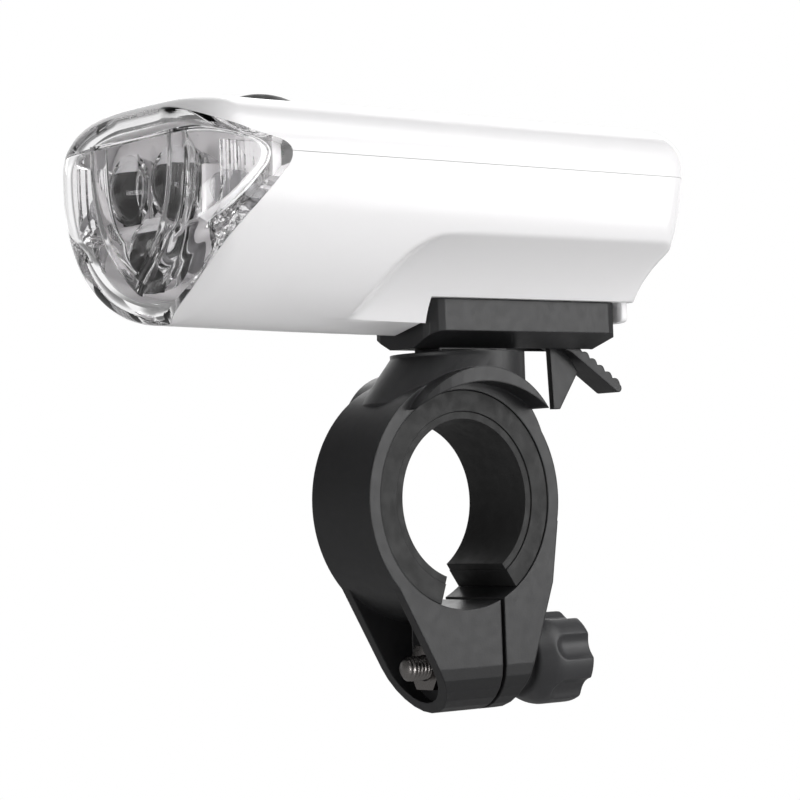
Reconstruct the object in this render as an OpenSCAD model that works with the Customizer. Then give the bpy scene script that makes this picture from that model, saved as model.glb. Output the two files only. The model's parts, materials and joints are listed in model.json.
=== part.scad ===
// Bicycle headlight with a clamp bracket, a swivelling quick-release shoe and two AA cells.
// X runs across, to the rider's left, Y to the rear and Z up. The origin is the centre of the clamp's bore.

/* [Clamp] */
// Diameter that the clamp grips
grip_d = 25.4; // [24:0.2:26]
// Thickness of the thin inner pad
pad_t = 1.2; // [1:0.1:1.4]
// Thickness of the rubber liner
liner_t = 3.3; // [3:0.1:3.6]
// Thickness of the ring's band
band_t = 2.2; // [1.9:0.1:2.6]
// Width of the ring's band
band_w = 14.6; // [13.8:0.2:15.4]
// Width of the saddle over the ring
saddle_w = 22.8; // [21:0.2:24]
// How far the saddle's arch stands above the band
saddle_rise = 1.3; // [1:0.1:1.6]

/* [Lugs and screw] */
// Diameter of the clamp screw
screw_d = 4; // [3.6:0.1:4.2]
// Distance of the screw's axis below the bore's centre
screw_drop = 26.5; // [26:0.1:27.5]
// Distance of the slit behind the bore's centre
slit_y = 6.4; // [5.8:0.1:7]
// Width of the slit between the lugs
slit_w = 0.8; // [0.6:0.1:1.2]
// Wall of the front lug's pocket
lug_wall = 1.7; // [1.4:0.1:2]
// Width of the nut across its flats
nut_af = 7; // [6.6:0.1:7.2]
// Thickness of the nut
nut_t = 3.2; // [2.8:0.1:3.6]

/* [Knob] */
// Diameter of the knob
knob_d = 15; // [14:0.2:15.6]
// Length of the knob behind its washer
knob_l = 13; // [12:0.2:14]
// Number of flutes round the knob
knob_flutes = 6; // [5:1:8]
// Depth of a flute
flute_depth = 1.3; // [1:0.1:1.5]

/* [Swivel and shoe] */
// Distance of the swivel axis behind the bore's centre
pivot_y = 5.3; // [4.8:0.1:5.8]
// Diameter of the neck
neck_d = 21.8; // [20.6:0.2:22.6]
// Height of the neck's top above the bore's centre
neck_top = 23.5; // [23.1:0.1:23.8]
// Width of the shoe
shoe_w = 16; // [15.4:0.1:16.6]
// Length of the shoe
shoe_l = 40.5; // [39:0.5:41]
// Height of the shoe's sides
shoe_side = 5.1; // [4.8:0.1:5.4]
// Depth of the shoe's keel below its sides
keel_h = 2.5; // [2.2:0.1:2.6]
// Width of the keel's flat
keel_w = 6; // [5.4:0.1:6.4]

/* [Release lever] */
// Width of the lever
lever_w = 5; // [4.6:0.1:5.4]
// Length of the thumb tab
tab_l = 13; // [11:0.5:14]
// Slope of the thumb tab below the horizontal
tab_slope = 33; // [30:1:36]
// Thickness of the thumb tab
tab_t = 1.4; // [1.2:0.1:1.8]
// Number of grip ribs on the thumb tab
tab_ribs = 5; // [4:1:6]

/* [Light body] */
// Width of the light
body_w = 44; // [43:0.5:45]
// Distance of the front face ahead of the bore's centre
body_front = 57.5; // [56.5:0.5:59]
// Distance of the rear end behind the bore's centre
body_rear = 39.5; // [39:0.5:42]
// Height of the top above the bore's centre
body_top = 60.6; // [60:0.2:61.4]
// Height of the case's widest line above the bore's centre
widest_z = 50; // [49.5:0.1:50.5]
// Height of the belly above the bore's centre
body_belly = 26.3; // [25.6:0.1:26.6]
// Rounding of the front edge
front_round = 6.5; // [5.5:0.5:7]
// Rounding of the rear edge
rear_round = 5; // [4.5:0.5:6]
// Wall thickness of the shells and the lens
wall = 1.9; // [1.6:0.1:2]
// How far the rear slants forwards down to the step
tuck = 2.1; // [1.6:0.1:2.4]
// Slope at which the cheeks leave the step, in degrees below the horizontal
cheek_slope = 24; // [22:1:28]

/* [Power button] */
// Diameter of the button
button_d = 14.4; // [13:0.2:15]
// Height of the button's dome
button_h = 2.5; // [1.8:0.1:2.8]
// Distance of the button ahead of the bore's centre
button_ahead = 33.1; // [32:0.1:34]
// Travel of the button
button_travel = 0.8; // [0.5:0.1:0.9]

/* [Optics] */
// Front diameter of a collimator
optic_d = 10.8; // [10:0.1:11]
// Length of a collimator
optic_l = 6.5; // [6:0.1:6.8]
// Gap between the two upper collimators
optic_gap = 0.4; // [0.3:0.05:0.6]
// Height of the upper collimators above the bore's centre
optic_high = 47.9; // [47.5:0.1:48.3]
// Height of the lower collimator above the bore's centre
optic_low = 37.9; // [37.4:0.1:38]
// Half width of the shield rib inside the lens
shield_x = 10.4; // [10:0.1:10.8]
// Width of the shield rib
shield_rib = 1.5; // [1.2:0.1:1.8]

/* [Cells] */
// Diameter of a cell
cell_d = 14.2; // [13.8:0.1:14.5]
// Length of a cell without its nub
cell_l = 50; // [48.5:0.5:50.5]

/* [Hidden] */
$fn = 64;

// Fits: a gap between fixed pieces, a running gap round a pin, and room beside what moves.
seat = 0.05;
run = 0.06;
room = 0.3;
// How far a cutting shape runs past what it cuts, and how far joined shapes overlap.
past = 40;
lap = 0.6;

// Clamp radii, from the inside out.
pad_in = grip_d / 2 + seat;
pad_out = pad_in + pad_t;
liner_in = pad_out + seat;
liner_out = liner_in + liner_t;
bore_r = liner_out + 2 * seat;
band_r = bore_r + band_t;
// The saddle's arch: its middle along Y, half its span, the height of its tips, its thickness at the top, and
// how far its sides draw in to the front.
saddle_y = 1.7;
saddle_span = 12.9;
saddle_tip = 14.2;
saddle_top = band_r + saddle_rise;
saddle_t = 2.4;
saddle_draw = 2.4;
lug_r = band_w / 2;
screw_z = -screw_drop;
// The front lug's leading edge and the rear lug's back edge, as points in Y and Z.
lead_top = [-0.73 * band_r, -0.68 * band_r];
lead_foot = [-2.6, screw_z - lug_r];
back_top = [band_r - 0.3, -4];
back_mid = [17.8, -13.8];
back_foot = [10.6, screw_z - lug_r];
inner_top = [14, -2];
inner_lead = [-12, -9];
slit_top = -bore_r + 2;
pocket_floor = -1.5;
trap_depth = 0.8;
washer_t = 0.8;
washer_r = 4.6;
spot_y = 12.6;
spot_r = 6.2;
screw_tip = -7.8;
screw_hole_r = screw_d / 2 + room;
// Ends of the sleeves at the foot, in degrees to the front and to the rear of straight down.
gap_front = 19.5;
gap_rear = 35;

// Knob places along its axis and its profile radii.
knob_y = spot_y + washer_t + 0.1;
knob_r = knob_d / 2;
knob_boss = 1.8;
knob_cone = 3.8;
knob_edge = 0.7;
flute_r = 2.6;
flute_start = knob_boss + knob_cone + 1.8;
knob_phase = -16;
screw_end = knob_y + knob_l - 4;

// Swivel plate: a bearing disc, a stem and a flange in the shoe's channel.
disc_r = 6.6;
disc_t = 0.45;
shoe_bottom = neck_top + disc_t + 0.25;
shoe_z = shoe_bottom + keel_h;
shoe_top = shoe_z + shoe_side;
shoe_round = 2.6;
shoe_ahead = 11.5;
shoe_front = pivot_y - shoe_ahead;
shoe_rear = shoe_front + shoe_l;
stem_w = 6.2;
flange_w = 10;
flange_z = neck_top + 3;
flange_t = 1.6;
flange_front = pivot_y - 6.3;
flange_rear = pivot_y + 8;
channel_room = 0.15;
swivel_shank = 1.6;
swivel_head_r = 2.9;
swivel_head_t = 1;
swivel_foot = 18.2;

// Lever: pin, catch arm and thumb tab.
pin_y = shoe_rear - 7.7;
pin_z = flange_z + 0.7;
pin_r = 1;
pin_l = 12.6;
pin_boss = 2;
catch_y = flange_rear + 0.4;
arm_low = flange_z - 1;
tab_root = [pin_y + 1.8, arm_low - 0.9];
tab_rib_h = 0.5;
lever_roof = shoe_top - 0.7;
slot_w = lever_w + 1.6;
slot_rear = pin_y + 5;
fin_t = 1;
fin_foot = arm_low - 11;

// Light body heights and the lines that split it.
parting_z = widest_z + 1.2;
step_z = widest_z - 9.4;
tuck_top = parting_z + 4;
split_gap = 0.05;
half_w = body_w / 2;
top_power = 3.3;
belly_power = 2.2;
roof_z = shoe_top + seat;
belly_end = shoe_front - room;
stop_front = shoe_rear + room;
stop_t = 1.7;
stop_h = 3.4;
front_y = -body_front;
inner_front = front_y + wall;
lens_reach = 14.4;
lens_tip = [front_y + lens_reach, parting_z];
// Cheeks: where their front edge leaves the step, how far it curves forwards, and the slope of its ramp.
cheek_front = belly_end - 4.8;
cheek_reach = 14;
cheek_power = 2;
cheek_ramp = 0.9;
ramp_past = 14;
// The cove's foot in X and Z, its corner's distance beyond the foot, and its steps.
cheek_foot = [shoe_w / 2 - 0.3, body_belly + 1.1];
cheek_corner = 1.7;
cheek_lap = 0.4;
cheek_steps = 8;
// Shares of the wall by which the cavity keeps off the cheeks, sideways and along the ramp.
cheek_wall = 0.8;
ramp_wall = 1.1;

// Loft resolution: points round a section, steps in the front and rear rounding.
section_steps = 48;
round_steps = 5;

// Lamp: from the lens backwards.
frame_depth = 11.5;
frame_y = front_y + frame_depth;
frame_t = 1.6;
optic_front = frame_y - seat - optic_l;
optic_crown = 0.3;
led_r = 2.5;
board_y = frame_y + 3;
board_t = 1.4;
board_half = 12;
board_post_x = 10.2;
board_post_z = [optic_low - 4, optic_high + 1.5];
optic_x = (optic_d + optic_gap) / 2;
optic_places = [[-optic_x, optic_high], [optic_x, optic_high], [0, optic_low]];
// The side lamps' arms stand beside the collimators, and their domes end at a set distance inside the case.
side_arm = [1.2, 3, 3.4];
side_arm_gap = 1;
side_lamp = [optic_x + optic_d / 2 + side_arm_gap + side_arm[0], frame_y - 3.6, optic_high - 1.5];
side_lamp_r = 2.4;
side_lamp_in = 5.5;
side_lamp_l = half_w - side_lamp_in - side_lamp[0];
shield_top = optic_high + 7;
shield_bend = optic_high;
shield_low = optic_low - 5.7;
shield_rear = optic_front - optic_crown - room;
shield_power = 1.8;

// Button, boards and cells.
button_y = -button_ahead;
button_r = button_d / 2;
button_base = body_top - 0.1;
flange_rest = body_top - wall - room;
switch_top = flange_rest - 1 - button_travel - 0.1;
switch_h = 3.6;
control_z = switch_top - switch_h;
control_t = 1.2;
post_r = 1.5;
post_x = button_r + 3.8;
post_y = [button_y - 5.6, button_y + 8.1];
cell_x = cell_d / 2 + 0.2;
cell_front = body_rear - cell_l - 11;
nub_r = 2.7;
nub_h = 1;
contact_t = 0.5;
contact_half = 4;
tray_wall = 1.5;
tray_low = roof_z + wall + seat;
tray_floor = 2.9;
tray_cradle = 5;
cell_z = tray_low + tray_floor + cell_d / 2;
tray_half = shoe_w / 2 - 0.6;

// A shape drawn in Y and Z, made w wide across the middle.
module across(w) {
    translate([-w / 2, 0, 0])
        rotate([90, 0, 90])
            linear_extrude(w)
                children();
}

// A shape drawn in X and Z, made from y0 back to y1.
module along(y0, y1) {
    translate([0, y1, 0])
        rotate([90, 0, 0])
            linear_extrude(y1 - y0)
                children();
}

// A rod along X, and one along Y.
module cross_rod(r, x0, x1, y = 0, z = 0) {
    translate([x0, y, z])
        rotate([0, 90, 0])
            cylinder(r = r, h = x1 - x0);
}

module long_rod(r, y0, y1, x = 0, z = 0) {
    translate([x, y0, z])
        rotate([-90, 0, 0])
            cylinder(r = r, h = y1 - y0);
}

// A box between two corners.
module box(a, b) {
    translate(a)
        cube(b - a);
}

// A turned shape about an axis along Y: its profile is drawn as radius and Y.
module turned(x = 0, z = 0) {
    translate([x, 0, z])
        rotate([-90, 0, 0])
            rotate_extrude()
                children();
}

module both_sides() {
    children();
    mirror([1, 0, 0])
        children();
}

// Points of a curve that leaves a and reaches b, both towards the corner c.
function bend(a, c, b, n = 6) = [
    for (k = [0:n])
        let (t = k / n)
            (1 - t) * (1 - t) * a + 2 * t * (1 - t) * c + t * t * b
];

// The outline of a tongue with a round foot about the screw: drawn in X and Z.
function tongue(r, top) = concat(
    [[r, top], [-r, top]],
    [for (a = [180:15:360]) [r * cos(a), screw_z + r * sin(a)]]
);

// A rectangle with round corners, about the origin.
function round_box(w, l, r) = [
    for (c = [0:3])
        for (a = [0:30:90])
            let (t = 90 * c + a, sx = (c == 0 || c == 3) ? 1 : -1, sy = c < 2 ? 1 : -1)
                [sx * (w / 2 - r) + r * cos(t), sy * (l / 2 - r) + r * sin(t)]
];

// The light's section: a full upper half and a rounder lower half, d inside the outer wall.
function power(v, n) = sign(v) * pow(abs(v), 2 / n);
function section_point(a, d) =
    let (n = sin(a) >= 0 ? top_power : belly_power,
         h = sin(a) >= 0 ? body_top - widest_z : widest_z - body_belly)
        [(half_w - d) * power(cos(a), n), widest_z + (h - d) * power(sin(a), n)];

// Half the light's width at a height below its widest.
function half_at(z) =
    let (v = min((widest_z - z) / (widest_z - body_belly), 1))
        half_w * pow(1 - pow(v, belly_power), 1 / belly_power);

// How far the rear end lies ahead of its upper part at a height.
function tuck_at(z) = tuck * min(max((tuck_top - z) / (tuck_top - step_z), 0), 1);

// Rings of the loft: place along Y, inset of the section, and share of the tuck.
function ring_list(d) =
    let (rf = front_round - d, rr = rear_round - d, y0 = front_y + d, y1 = body_rear - d)
        concat(
            [for (k = [0:round_steps]) let (a = 90 * k / round_steps)
                [y0 + rf * (1 - cos(a)), rf * (1 - sin(a)), 0]],
            [for (k = [round_steps:-1:0]) let (a = 90 * k / round_steps)
                [y1 - rr * (1 - cos(a)), rr * (1 - sin(a)), 1]]
        );

// The light's smooth outer form, d inside its surface, as one closed loft.
module body_loft(d) {
    rings = ring_list(d);
    n = section_steps;
    m = len(rings);
    points = [
        for (r = rings)
            for (k = [0:n - 1])
                let (p = section_point(360 * k / n, d + r[1]))
                    [p[0], r[0] - r[2] * tuck_at(p[1]), p[1]]
    ];
    sides = [
        for (i = [0:m - 2])
            for (k = [0:n - 1])
                let (a = i * n + k, b = i * n + (k + 1) % n)
                    each [[a, b, a + n], [b, b + n, a + n]]
    ];
    front_cap = [for (k = [n - 1:-1:0]) k];
    right = [for (j = [0:n / 2]) (m - 1) * n + (3 * n / 4 + j) % n];
    left = [for (j = [0:n / 2]) (m - 1) * n + (7 * n / 4 - j) % n];
    rear_cap = concat(
        [for (j = [0:n / 2 - 2]) [right[j], right[j + 1], left[j + 1]]],
        [for (j = [1:n / 2 - 1]) [right[j], left[j + 1], left[j]]]
    );
    polyhedron(points, concat(sides, [front_cap], rear_cap));
}

// The lens's outline from the side, in Y and Z, grown by g: the visor's edge, a blunt tip and a lower edge.
module lens_outline(g = 0) {
    crown = [front_y + 0.5, parting_z + 6.4 + g];
    brow = lens_tip + [-2.4, 2.3 + g];
    nose = lens_tip + [-0.9 + g, -2.2];
    jaw = [front_y + 6.2 + g, step_z + 0.6];
    chin = [front_y + 2 + g, body_belly + 5];
    polygon(concat(
        [[front_y - past, parting_z + 7 + g]],
        bend(crown, [front_y + 3.4, parting_z + 4.1 + g], brow),
        bend(brow, lens_tip + [0.9 + g, 1.2], nose),
        bend(jaw, [front_y + 2.2 + g, step_z - 3.8], chin),
        bend(chin, [front_y + 2 + g, body_belly + 2.6], [front_y + 3.2 + g, body_belly + 0.7]),
        [[front_y + 3.2 + g, body_belly - past / 4], [front_y - past, body_belly - past / 4]]
    ));
}

module lens_zone(g = 0) {
    across(body_w + past)
        lens_outline(g);
}

// The space that the shoe fills under the case, from the belly's end to the rear, grown by g.
module shoe_space(g = 0) {
    box([-past, belly_end - g, body_belly - past / 2], [past, body_rear + past, roof_z + g]);
}

// The cheek's section in X and Z: a cove from the step down to its foot, and straight on past both ends.
function cheek_cove() =
    let (step = [half_at(step_z), step_z],
         fall = [-cos(cheek_slope), -sin(cheek_slope)],
         corner = step + fall * (step[0] - cheek_foot[0] - cheek_corner) / cos(cheek_slope))
        concat(
            [step - cheek_lap * fall],
            bend(step, corner, cheek_foot, cheek_steps),
            [[cheek_foot[0], body_belly - past / 4]]
        );

// Where the cheek's front edge lies along the body at a height.
function cheek_edge(z) =
    let (v = min(max((z - body_belly) / (step_z - body_belly), 0), 1))
        cheek_front - cheek_reach * pow(1 - pow(v, cheek_power), 1 / cheek_power);

// One cheek: the space outside the cove, which runs out to the front over a ramp. The ramp's three rows are
// its outer end, its foot and the rear. The shape is moved in and up by g and forwards by ahead.
module cheek(g, ahead) {
    cove = cheek_cove();
    n = len(cove);
    face = [
        for (row = [0:2])
            for (p = cove)
                let (foot = cheek_edge(p[1]) + cheek_ramp * max(half_at(p[1]) - p[0], 0) - ahead)
                    row == 0 ? [p[0] - g + ramp_past, foot - cheek_ramp * ramp_past, p[1] + g]
                        : [p[0] - g, row == 1 ? foot : body_rear + past, p[1] + g]
    ];
    back = [for (p = face) [past, p[1], p[2]]];
    m = len(face);
    faces = concat(
        [for (i = [0:1]) for (k = [0:n - 2])
            let (a = i * n + k)
                each [[a, a + 1, a + n], [a + 1, a + n + 1, a + n]]],
        [for (i = [0:1]) for (k = [0:n - 2])
            let (a = m + i * n + k)
                each [[a, a + n, a + 1], [a + 1, a + n, a + n + 1]]],
        [for (k = [0:n - 2]) [k, m + k, m + k + 1, k + 1]],
        [for (k = [0:n - 2]) let (a = 2 * n + k) [a, a + 1, m + a + 1, m + a]],
        [for (i = [0:1]) let (a = i * n) [a, a + n, m + a + n, m + a]],
        [for (i = [0:1]) let (a = i * n + n - 1) [a, m + a, m + a + n, a + n]]
    );
    polyhedron(concat(face, back), faces);
}

module cheeks(g = 0, ahead = 0) {
    both_sides()
        cheek(g, ahead);
}

// Ring that closes on the grip: band, saddle, neck, and two lugs with the slit between them.
module clamp_ring() {
    color([0.07, 0.07, 0.08])
        difference() {
            union() {
                cross_rod(band_r, -band_w / 2, band_w / 2);
                saddle();
                lugs();
            }
            cross_rod(bore_r, -saddle_w, saddle_w);
            box([-past, slit_y, screw_z - past], [past, slit_y + slit_w, slit_top]);
            nut_pocket();
            long_rod(screw_hole_r, -past, past, z = screw_z);
            long_rod(spot_r, spot_y, past, z = screw_z);
            translate([0, pivot_y, swivel_foot - seat])
                cylinder(r = swivel_shank + seat, h = past);
        }
}

// A rod across the ring whose top is an arch between the saddle's tips.
module arch(top, x0, x1) {
    rise = top - saddle_tip;
    r = (saddle_span * saddle_span + rise * rise) / (2 * rise);
    cross_rod(r, x0, x1, saddle_y, top - r);
}

// The saddle: an arch that is wider than the band, and a crescent where it stands out beside it.
// It carries the neck.
module saddle() {
    half = saddle_w / 2;
    front = saddle_y - saddle_span;
    side = concat(bend([half - saddle_draw, front], [half, front / 2], [half, saddle_y]), [[half, past]]);
    difference() {
        union() {
            intersection() {
                arch(saddle_top, -half, half);
                linear_extrude(past)
                    polygon(concat(side, [for (k = [len(side) - 1:-1:0]) [-side[k][0], side[k][1]]]));
            }
            neck();
        }
        both_sides()
            arch(saddle_top - saddle_t, band_w / 2, past);
    }
}

// The neck: a round post, and a slanted foot that runs out to the front over the saddle.
module neck() {
    foot_z = 13;
    brim = 0.6;
    toe_r = 9.2;
    toe_y = -3.4;
    toe_z = 15.5;
    translate([0, pivot_y, foot_z])
        cylinder(d = neck_d, h = neck_top - foot_z);
    hull() {
        translate([0, pivot_y, neck_top - 2 * brim])
            cylinder(d = neck_d, h = brim, $fn = 96);
        translate([0, toe_y, toe_z - brim])
            cylinder(r = toe_r, h = brim, $fn = 96);
    }
}

module lugs() {
    intersection() {
        across(band_w + past)
            polygon([
                inner_lead, lead_top, lead_foot, lead_foot + [0, -3],
                back_foot + [0, -3], back_foot, back_mid, back_top, inner_top
            ]);
        along(-past, past)
            polygon(tongue(lug_r, 0));
    }
}

module nut_pocket() {
    difference() {
        along(-past, pocket_floor)
            polygon(tongue(lug_r - lug_wall, 0));
        cross_rod(band_r, -past, past);
    }
    hex_prism(nut_af + 2 * seat, pocket_floor - lap, pocket_floor + trap_depth);
}

module hex_prism(af, y0, y1) {
    translate([0, y0, screw_z])
        rotate([-90, 0, 0])
            cylinder(d = af / cos(30), h = y1 - y0, $fn = 6);
}

// A point at radius r below the bore's centre, turned by an angle to the front of straight down.
function below(r, angle) = [-r * sin(angle), -r * cos(angle)];

// The space between a sleeve's ends.
module foot_gap() {
    across(band_w + past)
        polygon([[0, 0], below(past, gap_front), below(past, 0), below(past, -gap_rear)]);
}

// A sleeve inside the ring, open at its foot.
module sleeve(r0, r1, w) {
    difference() {
        cross_rod(r1, -w / 2, w / 2);
        cross_rod(r0, -w, w);
        foot_gap();
    }
}

module liner() {
    color([0.1, 0.1, 0.1])
        sleeve(liner_in, liner_out, band_w - 0.4);
}

module inner_pad() {
    color([0.13, 0.13, 0.13])
        sleeve(pad_in, pad_out, band_w - 0.8);
}

module clamp_nut() {
    color([0.72, 0.72, 0.7])
        difference() {
            hex_prism(nut_af, pocket_floor + trap_depth - seat - nut_t, pocket_floor + trap_depth - seat);
            long_rod(screw_d / 2 + run, -past, past, z = screw_z);
        }
}

module clamp_washer() {
    color([0.75, 0.75, 0.74])
        difference() {
            long_rod(washer_r, spot_y + seat / 2, spot_y + washer_t, z = screw_z);
            long_rod(screw_d / 2 + room / 2, -past, past, z = screw_z);
        }
}

module clamp_screw() {
    r = screw_d / 2;
    color([0.7, 0.7, 0.68])
        turned(z = screw_z)
            polygon([
                [0, screw_tip], [r - 0.6, screw_tip], [r, screw_tip + 0.6], [r, screw_end], [0, screw_end]
            ]);
}

module knob() {
    y1 = knob_y + knob_boss;
    y2 = y1 + knob_cone;
    y3 = knob_y + knob_l;
    color([0.08, 0.08, 0.09])
        difference() {
            turned(z = screw_z)
                polygon([
                    [0, knob_y], [washer_r - 0.2, knob_y], [washer_r, y1], [0.78 * knob_r, y1 + 0.2],
                    [knob_r, y2], [knob_r, y3 - knob_edge], [knob_r - knob_edge, y3], [0, y3 + 0.3]
                ]);
            long_rod(screw_d / 2 + seat / 2, knob_y - past, screw_end + seat, z = screw_z);
            for (k = [0:knob_flutes - 1])
                translate([0, 0, screw_z])
                    rotate([0, knob_phase + 360 * k / knob_flutes, 0])
                        knob_flute();
        }
}

// One flute with a round front end, cut into the knob's side.
module knob_flute() {
    reach = knob_r - flute_depth + flute_r;
    y0 = knob_y + flute_start;
    long_rod(flute_r, y0, y0 + past, x = reach);
    translate([reach, y0, 0])
        sphere(r = flute_r);
}

module swivel_screw() {
    head_z = flange_z + flange_t - seat;
    color([0.7, 0.7, 0.68])
        translate([0, pivot_y, 0])
            rotate_extrude()
                polygon([
                    [0, swivel_foot], [swivel_shank, swivel_foot], [swivel_shank, head_z - swivel_head_t],
                    [swivel_head_r, head_z - swivel_head_t], [swivel_head_r, head_z], [0, head_z]
                ]);
}

// The T rail: it turns on the neck, and its flange sits in the shoe's channel.
module swivel_plate() {
    z0 = neck_top + seat;
    head_seat = flange_z + flange_t - swivel_head_t - 2 * seat;
    color([0.09, 0.09, 0.1])
        difference() {
            union() {
                translate([0, pivot_y, z0])
                    cylinder(r = disc_r, h = disc_t);
                rail(stem_w, z0 + disc_t / 2, flange_z + flange_t / 2);
                rail(flange_w, flange_z, flange_z + flange_t);
            }
            translate([0, pivot_y, z0 - lap])
                cylinder(r = swivel_shank + run, h = past);
            translate([0, pivot_y, head_seat])
                cylinder(r = swivel_head_r + 2 * run, h = past);
        }
}

module rail(w, z0, z1) {
    box([-w / 2, flange_front, z0], [w / 2, flange_rear, z1]);
}

// The shoe: a keeled block with a T channel that opens to the rear, and a slot for the lever.
module shoe() {
    mid_y = shoe_front + shoe_l / 2;
    heel = [shoe_rear - 2.2, shoe_bottom];
    side = shoe_w / 2 + 1;
    side_z = shoe_bottom + keel_h * (side - keel_w / 2) / (shoe_w / 2 - keel_w / 2);
    color([0.08, 0.08, 0.09])
        difference() {
            intersection() {
                translate([0, mid_y, shoe_bottom - lap])
                    linear_extrude(shoe_top - shoe_bottom + lap)
                        polygon(round_box(shoe_w, shoe_l, shoe_round));
                along(shoe_front - past, shoe_rear + past)
                    polygon([
                        [keel_w / 2, shoe_bottom], [side, side_z], [side, shoe_top + 1],
                        [-side, shoe_top + 1], [-side, side_z], [-keel_w / 2, shoe_bottom]
                    ]);
                across(shoe_w + past)
                    polygon([
                        [shoe_front - 1, shoe_bottom - 1], heel + [0, -1], heel,
                        [shoe_rear + 0.1, shoe_z + 0.2], [shoe_rear + 0.1, shoe_top + 1],
                        [shoe_front - 1, shoe_top + 1]
                    ]);
            }
            shoe_channel();
            cross_rod(pin_r + seat / 2, -pin_l / 2 - seat, pin_l / 2 + seat, pin_y, pin_z);
            shoe_pilot(shoe_screw_places[0]);
            shoe_pilot(shoe_screw_places[1]);
        }
}

module shoe_channel() {
    c = channel_room;
    y0 = flange_front - c;
    y1 = shoe_rear + past;
    slot_front = catch_y - 2 * room;
    box([-stem_w / 2 - c, y0, shoe_bottom - past], [stem_w / 2 + c, y1, flange_z]);
    box([-flange_w / 2 - c, y0, flange_z - c], [flange_w / 2 + c, y1, flange_z + flange_t + c]);
    box([-slot_w / 2, slot_front, shoe_bottom - past], [slot_w / 2, slot_rear, flange_z]);
    box([-slot_w / 2, slot_front, flange_z], [slot_w / 2, pin_y + pin_boss + room, lever_roof]);
}

// The lever: a catch arm, a boss on the pin, a ribbed thumb tab that slopes down to the rear, and a fin.
module release_lever() {
    color([0.08, 0.08, 0.09])
        difference() {
            union() {
                across(lever_w)
                    polygon(concat(lever_arm(), thumb_tab()));
                across(fin_t)
                    polygon([
                        [pin_y - 1.5, arm_low - 0.2], [pin_y - 1, fin_foot], [pin_y + 0.4, fin_foot],
                        [pin_y + 4.7, fin_foot + 6.2], tab_point(0.4, 0)
                    ]);
            }
            cross_rod(pin_r + run, -past, past, pin_y, pin_z);
        }
}

// The arm's outline in Y and Z, from the tab's upper root over the boss to the catch and back below.
function lever_arm() = concat(
    [for (a = [-20:20:120]) [pin_y + pin_boss * cos(a), pin_z + pin_boss * sin(a)]],
    [
        [catch_y + 2.6, flange_z + flange_t], [catch_y, flange_z + flange_t], [catch_y, flange_z + 0.1],
        [catch_y + 1.4, arm_low], [pin_y - 1.4, arm_low - 0.5]
    ]
);

// A point on the thumb tab: u along its slope from the root, v above its middle.
function tab_point(u, v) = tab_root + [
    u * cos(tab_slope) + v * sin(tab_slope),
    v * cos(tab_slope) - u * sin(tab_slope)
];

// The tab's outline, from its lower root round its end and back over the grip ribs.
function thumb_tab() =
    let (h = tab_t / 2, first = 2.2, pitch = (tab_l - first - h) / tab_ribs)
        concat(
            [tab_point(0.4, -h)],
            [for (a = [-90:30:60]) tab_point(tab_l - h + h * cos(a), h * sin(a))],
            [for (k = [tab_ribs - 1:-1:0]) for (a = [180:-36:36])
                tab_point(first + pitch * (k + a / 180), h + tab_rib_h * sin(a))],
            [tab_point(first, h)]
        );

module lever_pin() {
    color([0.7, 0.7, 0.68])
        cross_rod(pin_r, -pin_l / 2, pin_l / 2, pin_y, pin_z);
}

// Screws from the case floor into the shoe: their places along Y and how deep they reach.
shoe_screw_r = 1;
shoe_screw_places = [[shoe_front + 2.4, 5], [shoe_rear - 2.6, 2]];
shoe_screw_head = 1.9;
shoe_screw_cap = 1;

module shoe_pilot(p) {
    translate([0, p[0], shoe_top - p[1]])
        cylinder(r = shoe_screw_r + seat / 2, h = past);
}

module shoe_screw(p) {
    tip_z = shoe_top - p[1] + seat;
    head_z = roof_z + wall + seat;
    cap_z = head_z + shoe_screw_cap;
    color([0.7, 0.7, 0.68])
        translate([0, p[0], 0])
            rotate_extrude()
                polygon([
                    [0, tip_z], [shoe_screw_r, tip_z], [shoe_screw_r, head_z],
                    [shoe_screw_head, head_z], [shoe_screw_head, cap_z], [0, cap_z]
                ]);
}

module shoe_screw_front() {
    shoe_screw(shoe_screw_places[0]);
}

module shoe_screw_rear() {
    shoe_screw(shoe_screw_places[1]);
}

// The lower shell: belly, pocket for the shoe, recessed cheeks and the stop behind the shoe.
module lower_case() {
    color([0.95, 0.95, 0.95])
        difference() {
            union() {
                intersection() {
                    body_loft(0);
                    box([-past, -2 * past, 0], [past, 2 * past, parting_z - split_gap]);
                    case_block();
                }
                translate([-shoe_w / 2, stop_front, roof_z - stop_h])
                    cube([shoe_w, stop_t, stop_h + lap]);
            }
            case_cavity();
            cheeks();
            lens_zone(split_gap);
            for (p = shoe_screw_places)
                translate([0, p[0], roof_z - lap])
                    cylinder(r = shoe_screw_r + room / 2, h = wall + 2 * lap);
        }
}

// What stays of the body round the shoe: all of it ahead of the belly's end, and what lies above the shoe.
module case_block() {
    across(body_w + past)
        polygon([
            [-2 * past, 0], [belly_end, 0], [belly_end, roof_z], [2 * past, roof_z],
            [2 * past, 2 * past], [-2 * past, 2 * past]
        ]);
}

module case_cavity() {
    difference() {
        body_loft(wall);
        shoe_space(wall);
        cheeks(cheek_wall * wall, ramp_wall * wall);
    }
}

// The upper shell, with the visor over the lens, the button's hole and the posts of the control board.
module top_cover() {
    post_top = body_top - wall / 2;
    color([0.96, 0.96, 0.96])
        difference() {
            union() {
                difference() {
                    intersection() {
                        body_loft(0);
                        box([-past, -2 * past, parting_z + split_gap], [past, 2 * past, 2 * past]);
                    }
                    body_loft(wall);
                    lens_zone(split_gap);
                }
                for (y = post_y)
                    both_sides()
                        translate([post_x, y, control_z + seat])
                            cylinder(r = post_r, h = post_top - 0.3 - control_z);
            }
            translate([0, button_y, 0])
                cylinder(r = button_r + room, h = 3 * past);
        }
}

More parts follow.
